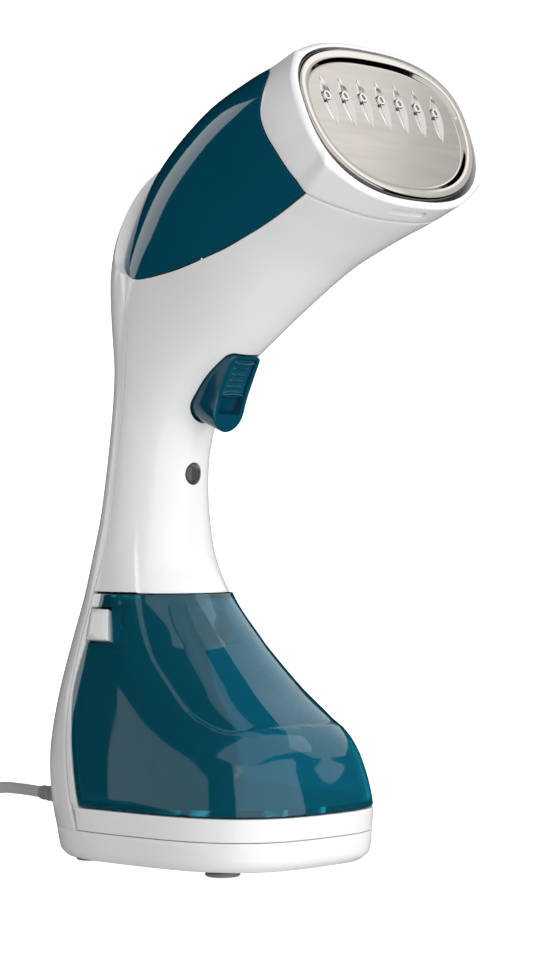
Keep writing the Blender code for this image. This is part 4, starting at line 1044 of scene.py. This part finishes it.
def trigger_half_width(down):
    """Narrowest at the head, which has round corners, and a half circle at the foot."""
    foot, corner = TRIGGER_FOOT_RADIUS, TRIGGER_CORNER
    body = smooth_line([(0, 7.9), (4, 8.3), (10, TRIGGER_HALF_WIDTH), (20, foot), (31, foot)])
    into_foot = np.clip((down - (TRIGGER_LENGTH - foot)) / foot, 0, 0.9995)
    into_head = np.clip((corner - down) / corner, 0, 1)
    corner = corner * (1 - np.sqrt(1 - into_head**2))
    return np.interp(down, body[:, 0], body[:, 1]) * np.sqrt(1 - into_foot**2) - corner


def trigger_face(down):
    return -TRIGGER_HOLLOW * np.sin(pi * np.clip(down / TRIGGER_LENGTH, 0, 1))


def trigger_downs(grow):
    """Distances down the trigger, closer together where its outline turns."""
    foot_start = TRIGGER_LENGTH - TRIGGER_FOOT_RADIUS
    foot = foot_start + TRIGGER_FOOT_RADIUS * np.sin(np.linspace(0, pi / 2, 28))
    head = TRIGGER_CORNER * (1 - np.cos(np.linspace(0.25, pi / 2, 10)))
    body = np.linspace(TRIGGER_CORNER, foot_start, 46)
    downs = np.concatenate(([0], head[:-1], body, foot[1:]))
    middle = TRIGGER_LENGTH / 2
    return middle + (downs - middle) * (1 + grow / middle)


def trigger_block(name, downs, half, face, back, finish, body=None, replaced=(), columns=9):
    """A solid in the trigger's frame between a face, given down it, and a flat back."""
    x = (half + 0 * downs)[:, None] * np.linspace(-1, 1, columns)
    down = downs[:, None] + 0 * x
    face = face if face.ndim == 2 else face[:, None] + 0 * x
    outer, inner = trigger_point(x, down, face), trigger_point(x, down, back + 0 * x)
    return sheet(name, outer, inner, finish, body, replaced)


def make_trigger():
    """The key, with a hollow U-shaped face that is rounded off at its edge."""
    downs = trigger_downs(0)
    half = trigger_half_width(downs)
    columns = 61
    x = half[:, None] * np.linspace(-1, 1, columns)
    edges = [even(np.stack((side * half, downs), axis=1), 200) for side in (-1, 1)]
    inset = nearest(np.stack((x, downs[:, None] + 0 * x), axis=-1), np.vstack(edges))
    rim = np.interp(inset, (0, 0.12, 0.35, 0.7), (-0.6, -0.28, -0.08, 0))
    face = trigger_face(downs)[:, None] + rim
    role = ("trigger_body", ("trigger",), columns)
    key = trigger_block("trigger_key", downs, half, face, -TRIGGER_DEPTH, TEAL_KEY, *role)
    bevel(key, 0.3)
    turns = np.linspace(0.2, pi / 2, 7)
    top = LOCK_TOP - 0.35 + 1.4 * (1 - np.cos(turns))
    foot = LOCK_RECESS_FOOT - 1.4 * (1 - np.cos(turns))
    half = 6.1 - 1.4 * (1 - np.sin(turns))
    downs = np.concatenate((top, foot[::-1]))
    half = np.concatenate((half, half[::-1]))
    recess = trigger_block("recess", downs, half, 0 * downs + 9, -LOCK_FLOOR, TEAL_KEY)
    return cut(key, [recess, drill((-12, -7, 190.5), (1, 0, 0), 1.33, 24, TEAL_KEY, 32)])


def hill(x, middle, width):
    return np.exp(-(((x - middle) / width) ** 2))


def make_lock():
    """A sliding lock: four ribs between two crescent lips."""
    downs = np.linspace(LOCK_TOP, LOCK_FOOT, 160)
    columns = 21
    x = np.linspace(-1, 1, columns)[None, :]
    share = (downs[:, None] - LOCK_TOP) / (LOCK_FOOT - LOCK_TOP) + 0 * x
    ribs = sum(hill(share, at, 0.022) for at in (0.25, 0.41, 0.57, 0.73))
    bow = 0.05 * (1 - x * x)
    lip = hill(share, 0.05 + bow, 0.04) + hill(share, 0.95 - bow, 0.04)
    rise = -0.7 + 0.75 * ribs * np.clip((0.66 - np.abs(x)) * 8, 0, 1)
    rise = rise + 1.5 * lip * np.clip((1 - np.abs(x)) * 5, 0, 1)
    face = trigger_face(downs)[:, None] + rise
    role = ("lock", ("lock_slider",), columns)
    lock = trigger_block("trigger_lock", downs, 5.7, face, 0.35 - LOCK_FLOOR, TEAL_LOCK, *role)
    return bevel(lock, 0.2)


def make_lens():
    line = skin(np.linspace(8, 14, 301), 180)
    place = (0, float(np.interp(LENS_Z, line[:, 2], line[:, 1])) + 4.6, LENS_Z)
    profile = [(0, 3.95), (4.1, 3.95), (4.5, 3.6), (4.85, 2.8), (5.05, 1.7), (5.12, 0.5)]
    turned("pilot_lens", place, (0, -1, 0), profile, LENS, "steamer", ("indicator_lens",))


INNER_FINISHES = {
    STEEL: [f"base_screw_{k}" for k in (1, 2, 3, 4)] + ["clamp_screw_1", "clamp_screw_2"]
    + ["trigger_pin", "trigger_spring", "heating_element", "thermal_fuse", "heat_shield"],
    GREY: ["handle_chassis", "cord_clamp"],
    BLACK: ["microswitch", "pump", "thermostat", "wiring_loom"],
    SEAL: ["dock_seal", "plate_seal"],
    HOSE: ["inlet_hose", "outlet_hose"],
    CASTING: ["heater_block"],
}


def finish_inner_pieces():
    for finish, names in INNER_FINISHES.items():
        for name in names:
            mesh = frame["nodes"][name].data
            mesh.materials.clear()
            mesh.materials.append(finish)


make_rear_shell()
make_front_shell()
make_top_cover()
make_collar()
make_base_cover()
make_feet()
make_tank()
make_latches()
make_tank_fittings()
make_dock()
make_plate()
make_trigger()
make_lock()
make_lens()
finish_inner_pieces()


# ---- Studio ----


def make_floor():
    """A pale floor that sweeps up into a backdrop behind the object."""
    made, tree, shader = start_material("studio_paper", (0.93, 0.93, 0.93), 0.85)
    vary(tree, noise(tree, 4), 0.8, 0.9, shader.inputs["Roughness"])
    fill(shader, Emission_Color=(1, 1, 1, 1), Emission_Strength=0.8)
    profile = [(-3, 0), (2.2, 0)]
    profile += [(2.2 + 0.8 * sin(a), 0.8 - 0.8 * cos(a)) for a in np.linspace(0.1, pi / 2, 16)]
    profile += [(3, 3.2)]
    points = []
    for along, z in profile:
        for across in (-3.5, 3.5):
            points.append(AHEAD * along + RIGHT * across + Vector((0, 0, z - 0.0004)))
    faces = [(k, k + 1, k + 3, k + 2) for k in range(0, 2 * len(profile) - 2, 2)]
    mesh = bpy.data.meshes.new("studio_sweep")
    mesh.from_pydata(points, [], faces)
    mesh.shade_smooth()
    mesh.materials.append(made)
    sweep = new_object("studio_sweep", mesh)
    sweep.visible_glossy = False
    sweep.visible_diffuse = False
    sweep.visible_shadow = False


def softbox(name, turns, heights, radiance):
    """An area light between two angles right of the camera and two above the horizon."""
    turn, rise = (radians(sum(pair) / 2) for pair in (turns, heights))
    wide, high = (2 * LIGHT_DISTANCE * tan(radians(b - a) / 2) for a, b in (turns, heights))
    data = bpy.data.lights.new(name, "AREA")
    data.shape = "RECTANGLE"
    data.size, data.size_y = wide, high
    data.energy = radiance * pi * wide * high
    made = new_object(name, data)
    level = RIGHT * sin(turn) - AHEAD * cos(turn)
    away = level * cos(rise) + Vector((0, 0, sin(rise)))
    made.location = Vector((0, 0, 0.15)) + away * LIGHT_DISTANCE
    aim(made, -away)
    made.visible_camera = False


def make_world():
    """A soft fill, brighter from the right and below, that leaves the reflections to the softboxes."""
    studio = bpy.data.worlds.new("studio")
    bpy.context.scene.world = studio
    studio.use_nodes = True
    studio.cycles_visibility.glossy = False
    tree = studio.node_tree
    place = tree.nodes.new("ShaderNodeTexCoord")
    along = tree.nodes.new("ShaderNodeVectorMath")
    along.operation = "DOT_PRODUCT"
    along.inputs[1].default_value = (0.7 * cos(VIEW_ANGLE), -0.7 * sin(VIEW_ANGLE), -0.7)
    back = tree.nodes["Background"]
    fill(back, Color=(1, 1, 1, 1))
    tree.links.new(place.outputs["Generated"], along.inputs[0])
    vary(tree, along.outputs["Value"], 0.24, 0.74, back.inputs["Strength"], -0.9, 0.9)


make_floor()
make_world()
softbox("softbox_left", (-90, -40), (-5, 19), 0.8)
softbox("softbox_right", (-10, 80), (-38, 36), 1.3)
softbox("softbox_high", (0, 94), (38, 74), 1)
softbox("softbox_rim", (-132, -114), (3, 30), 1.7)
softbox("softbox_back", (96, 160), (13, 50), 1)
bpy.context.scene.view_settings.view_transform = "Standard"
